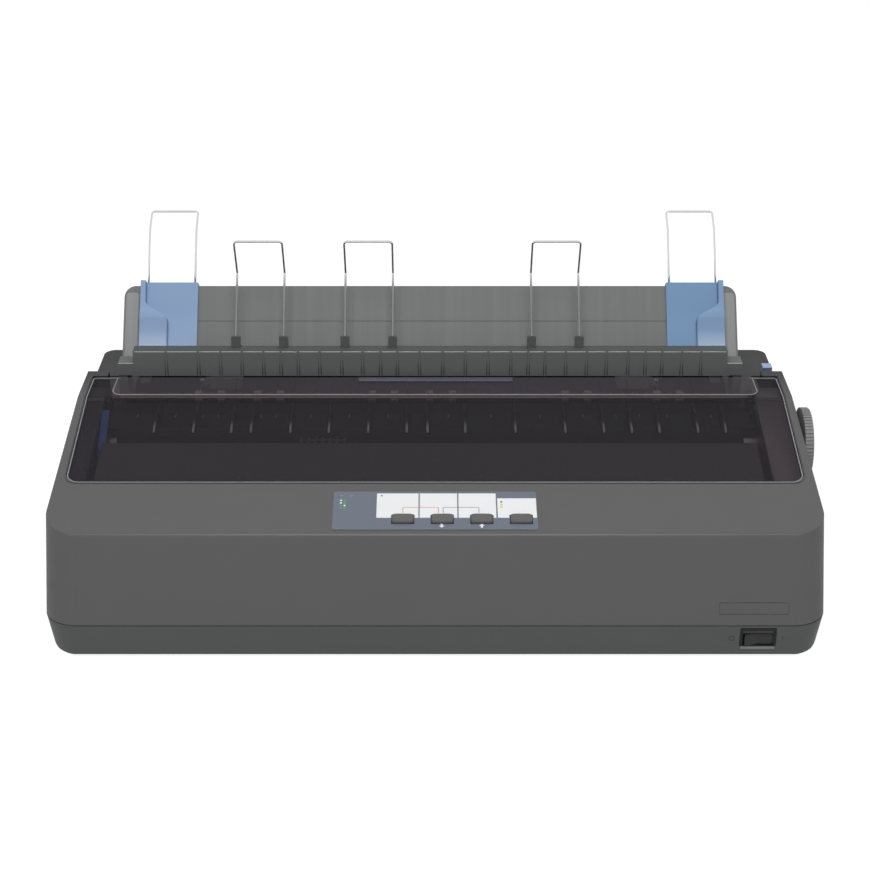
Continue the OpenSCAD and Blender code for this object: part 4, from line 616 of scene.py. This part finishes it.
chrome = bright_metal("wire_chrome", tint(236, 236, 238), 0.14)
# Painted reflection: the support wires' chrome is painted darker below 205 mm above the floor and bright
# above 215 mm.
chrome_painted_reflection = bright_metal("wire_chrome_painted_reflection", tint(150, 150, 151), 0.22,
    turn=(2, 0.205, 0.215, tint(226, 226, 228)))
round_wire = ellipse(1.0, 1.0, 12)
WIRE_HALF, WIRE_BEND = 20, 3.0  # half the width between a wire's legs, and the radius of its bends
for side, x in (("left", LEFT_GUIDE), ("right", RIGHT_GUIDE)):
    legs = x + WIRE_HALF * np.array([-1, -1, -1, 1, 1, 1])
    corners = on_sheet(legs,
        np.array([1.6, 1.6, 10, 10, 1.6, 1.6]), np.array([59.5, 124, 143, 143, 124, 59.5]))
    wire = rod(f"wire_{side}", bent_path(corners, WIRE_BEND), round_wire, (0, 0.8, -0.6), chrome,
        f"edge_guide_{side}")
    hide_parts(f"guide_wire_{side}")

SOCKET_LEAN = math.radians(8)
SOCKET_BACK, BAR_TOP = 226.5, 162


def in_socket(x, up):
    """A point on the axis of a wire's socket, which leans back by 8 degrees from the top of the bar."""
    return x, SOCKET_BACK + up * math.sin(SOCKET_LEAN), BAR_TOP + up * math.cos(SOCKET_LEAN)


for number, x in enumerate((-147, -55.5, 101)):
    left = x - WIRE_HALF
    half = [in_socket(left, 1.9), in_socket(left, 10.3), (left, 262, 215), (left, 244, 249)]
    corners = half + [(2 * x - a, b, c) for a, b, c in half[::-1]]
    wire = rod(f"support_wire_{number + 1}", bent_path(corners, WIRE_BEND), round_wire, (0, 1, -0.3),
        chrome_painted_reflection, "case")
    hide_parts("support_wires")

# ---- Platen, knob and gears ---------------------------------------------------------------
# A ground rubber roller on a steel shaft, turned by a nylon gear train at the left and by a
# ridged grey knob at the right.
dress(moulded("platen_rubber", tint(42, 42, 43), 0.8, 700.0, 0.00003, 0.12, 0.3), "platen")
dress(bright_metal("ground_steel", tint(176, 178, 181), 0.3, True),
    "platen_shaft", "guide_rod", "tractor_shaft", "support_rod")
dress(moulded("knob_grey", tint(146, 146, 146), 0.5), "platen_knob")
dress(moulded("nylon", tint(150, 148, 142), 0.5, 900.0, 0.00003, 0.06),
    "platen_gear", "front_idler_gear", "rear_idler_gear", "tractor_gear", "drive_pulley", "idler_pulley",
    "shaft_bushes")
dress(moulded("wheel_black", tint(48, 47, 49), 0.5), "pin_wheel_left", "pin_wheel_right")
dress(bright_metal("turned_brass", tint(190, 160, 96), 0.3, True), "motor_pinion")

# ---- Levers -------------------------------------------------------------------------------
# The release lever stands in a slot behind the lid, and the thickness lever at the left end. The
# tractors' locks are of the same light blue plastic.
dress(sky_blue, "release_lever", "tractor_lock_left", "tractor_lock_right")
dress(moulded("lever_blue", tint(84, 104, 168), 0.4), "thickness_lever")

# ---- Paper guide and exit rollers ---------------------------------------------------------
# A black curved plate with ribs over the platen, and rubber wheels in pairs under the strip.
dress(moulded("guide_black", tint(44, 42, 45), 0.35, 1100.0, 0.00003, 0.15), "inner_paper_guide")
dress(moulded("roller_rubber", tint(196, 160, 156), 0.7, 700.0, 0.00004, 0.15, 0.3), "exit_rollers")


def black_plastic_painted_highlight(name, colour, turn):
    """Black plastic painted pale towards one end, as a painted highlight. One grain varies its tone, its
    gloss and its bump."""
    finish = Finish(name)
    place = finish.node("TexCoord", None, None, "Object")
    grain = finish.node("TexNoise", None, {"Vector": place, "Scale": 420.0, "Detail": 3.0})
    return finish.done(finish.node("BsdfPrincipled", None, {
        "Base Color": finish.tinted(finish.turned(place, colour, turn), 0.85 + grain * 0.3),
        "Roughness": 0.3 + grain * 0.2,
        "Normal": finish.node("Bump", None, {"Strength": 0.3, "Distance": 0.00003, "Height": grain}),
    }))


# Each rib runs down from under the strip, over the platen, to its rounded nose. Its nose is painted
# pale, a painted highlight. Short ticks lie between the ribs.
rib_painted_highlight = black_plastic_painted_highlight("rib_painted_highlight", tint(40, 38, 42),
    (1, (156.0 - FRAME_BACK) / 1000, (146.0 - FRAME_BACK) / 1000, tint(206, 190, 187)))
GUIDE_RIBS = (-227.8, -195.9, -165.1, -149.2, -117.2, -86.0, -54.1, -22.9, -6.1, 24.6, 65.2, 105.7,
              136.9, 159.4, 181.9, 213.1, 235.6)
for number, x in enumerate(GUIDE_RIBS):
    nose = [(x, 187.5, 127.6), (x, 168.0, 126.8), (x, 155.0, 125.4), (x, 147.0, 123.9), (x, 142.4, 121.6)]
    rod(f"guide_rib_{number + 1}", bent_path(nose, 4.0, 5), ellipse(1.0, 0.9, 8), (1, 0, 0), rib_painted_highlight, "case")
tick_grey = moulded("tick_grey", tint(112, 106, 110), 0.5)
GUIDE_TICKS = (-243.2, -212.0, -189.8, -177.3, -142.2, -129.9, -101.6, -70.0, -38.5, 11.0, 45.9, 86.2, 121.0,
               148.0, 167.4, 189.7, 226.0)
for number, x in enumerate(GUIDE_TICKS):
    rod(f"guide_tick_{number + 1}", np.array([(x, 166.0, 126.9), (x, 161.0, 126.4)]), ellipse(0.6, 0.35, 8),
        (1, 0, 0), tick_grey, "case")

# ---- Carriage, head and ribbon ------------------------------------------------------------
# A black carriage runs on the guide rod, its cast head blackened. The ribbon lies in a flat box.
dress(moulded("carriage_black", tint(46, 46, 48), 0.5), "carriage")
dress(bright_metal("head_cast", tint(92, 88, 92), 0.5), "print_head")
dress(moulded("ribbon_black", tint(40, 40, 41), 0.5), "ribbon_cartridge")
dress(moulded("ribbon_knob_black", tint(58, 58, 60), 0.45), "ribbon_knob")

# ---- Frames and drive ---------------------------------------------------------------------
# Zinc-plated sheet for the chassis and the two side frames, dull steel for the motors, and a
# toothed rubber belt.
dress(bright_metal("zinc_sheet", tint(150, 152, 152), 0.45),
    "chassis", "side_frame_left", "side_frame_right", "case_screws")
dress(bright_metal("motor_case", tint(120, 121, 124), 0.5), "carriage_motor", "feed_motor")
dress(moulded("belt_rubber", tint(34, 34, 34), 0.75, 800.0, 0.00003), "timing_belt")

# ---- Tractors -----------------------------------------------------------------------------
# Black frames that slide on their rod, each with a hinged cover, a pin wheel and a blue lock.
dress(moulded("tractor_black", tint(26, 26, 27), 0.6), "tractor_frame_left", "tractor_frame_right")
dress(moulded("tractor_cover_black", tint(28, 28, 29), 0.6), "tractor_cover_left", "tractor_cover_right")

# ---- Electrics and feet -------------------------------------------------------------------
# Lacquered green boards, a varnished supply, black sockets in the back wall and rubber feet.
dress(moulded("board_green", tint(44, 98, 62), 0.35, 240.0, 0.00006, 0.25), "circuit_boards")
dress(moulded("supply_varnish", tint(168, 150, 96), 0.4, 300.0, 0.00006, 0.3), "power_supply")
dress(moulded("socket_black", tint(40, 40, 41), 0.45), "rear_sockets")
dress(moulded("foot_rubber", tint(36, 36, 36), 0.85, 500.0, 0.00006), "feet")


# ---- Studio -------------------------------------------------------------------------------
# A wide pale floor, a pale surround, one broad lamp high above the camera and a weaker one behind.
def seen_directly(finish):
    """At least 1 where the camera, a gloss or a clear piece sees the surface, 0 where only scattered
    light does."""
    camera_ray, glossy_ray, clear_ray = (finish.node("LightPath", None, None, f"Is {kind} Ray")
                                         for kind in ("Camera", "Glossy", "Transmission"))
    return camera_ray + glossy_ray + clear_ray


FLOOR_GLOW = 0.7  # the share of plain white in what is seen of the floor; the rest keeps the shadow
floor_finish = Finish("floor_pale")
floor_cloud = floor_finish.node("TexNoise", None, {
    "Vector": floor_finish.node("TexCoord", None, None, "Object"), "Scale": 3.0, "Detail": 3.0})
floor_share = floor_finish.node("Math", {"operation": "MINIMUM"},
    {0: seen_directly(floor_finish) * FLOOR_GLOW, 1: FLOOR_GLOW})
floor_matt = floor_finish.node("BsdfPrincipled", None, {
    "Base Color": floor_finish.tinted((0.82, 0.82, 0.82, 1.0), 0.98 + floor_cloud * 0.04), "Roughness": 0.9})
floor_white = floor_finish.node("Emission", None, {"Color": (1, 1, 1, 1), "Strength": 1.3})
floor_mix = floor_finish.node("MixShader", None, {0: floor_share, 1: floor_matt, 2: floor_white})
floor_pale = floor_finish.done(floor_mix)
floor_mesh = bpy.data.meshes.new("floor")
floor_mesh.from_pydata([(-9, -7, 0), (9, -7, 0), (9, 11, 0), (-9, 11, 0)], [], [(0, 1, 2, 3)])
floor_mesh.materials.append(floor_pale)
floor = bpy.data.objects.new("floor", floor_mesh)
bpy.context.scene.collection.objects.link(floor)

world = bpy.data.worlds.new("surround")
bpy.context.scene.world = world
sky = Finish("surround", world)
sky_strength = sky.node("MapRange", None, {"Value": seen_directly(sky), "To Min": 0.2, "To Max": 1.0})
sky_light = sky.node("Background", None, {"Color": (0.8, 0.8, 0.8, 1.0), "Strength": sky_strength})
sky.node("OutputWorld", None, {"Surface": sky_light})

LAMP_AIM = np.array((0, 0, 0.1))
for name, place, size, power in (
    ("lamp_front", (-0.1, -1.5, 2.7), (1.6, 1.4), 57.0),
    ("lamp_back", (0.5, 1.2, 2.7), (2.0, 1.0), 12.0),
):
    lamp = bpy.data.lights.new(name, "AREA")
    lamp.shape = "RECTANGLE"
    lamp.size, lamp.size_y = size
    lamp.energy = power
    lit = bpy.data.objects.new(name, lamp)
    lit.location = place
    away = np.array(place) - LAMP_AIM
    down = math.acos(away[2] / np.linalg.norm(away))
    lit.rotation_euler = (down, 0, math.atan2(away[1], away[0]) + math.pi / 2)
    lit.visible_glossy = False
    bpy.context.scene.collection.objects.link(lit)

bpy.context.scene.view_settings.view_transform = "Standard"
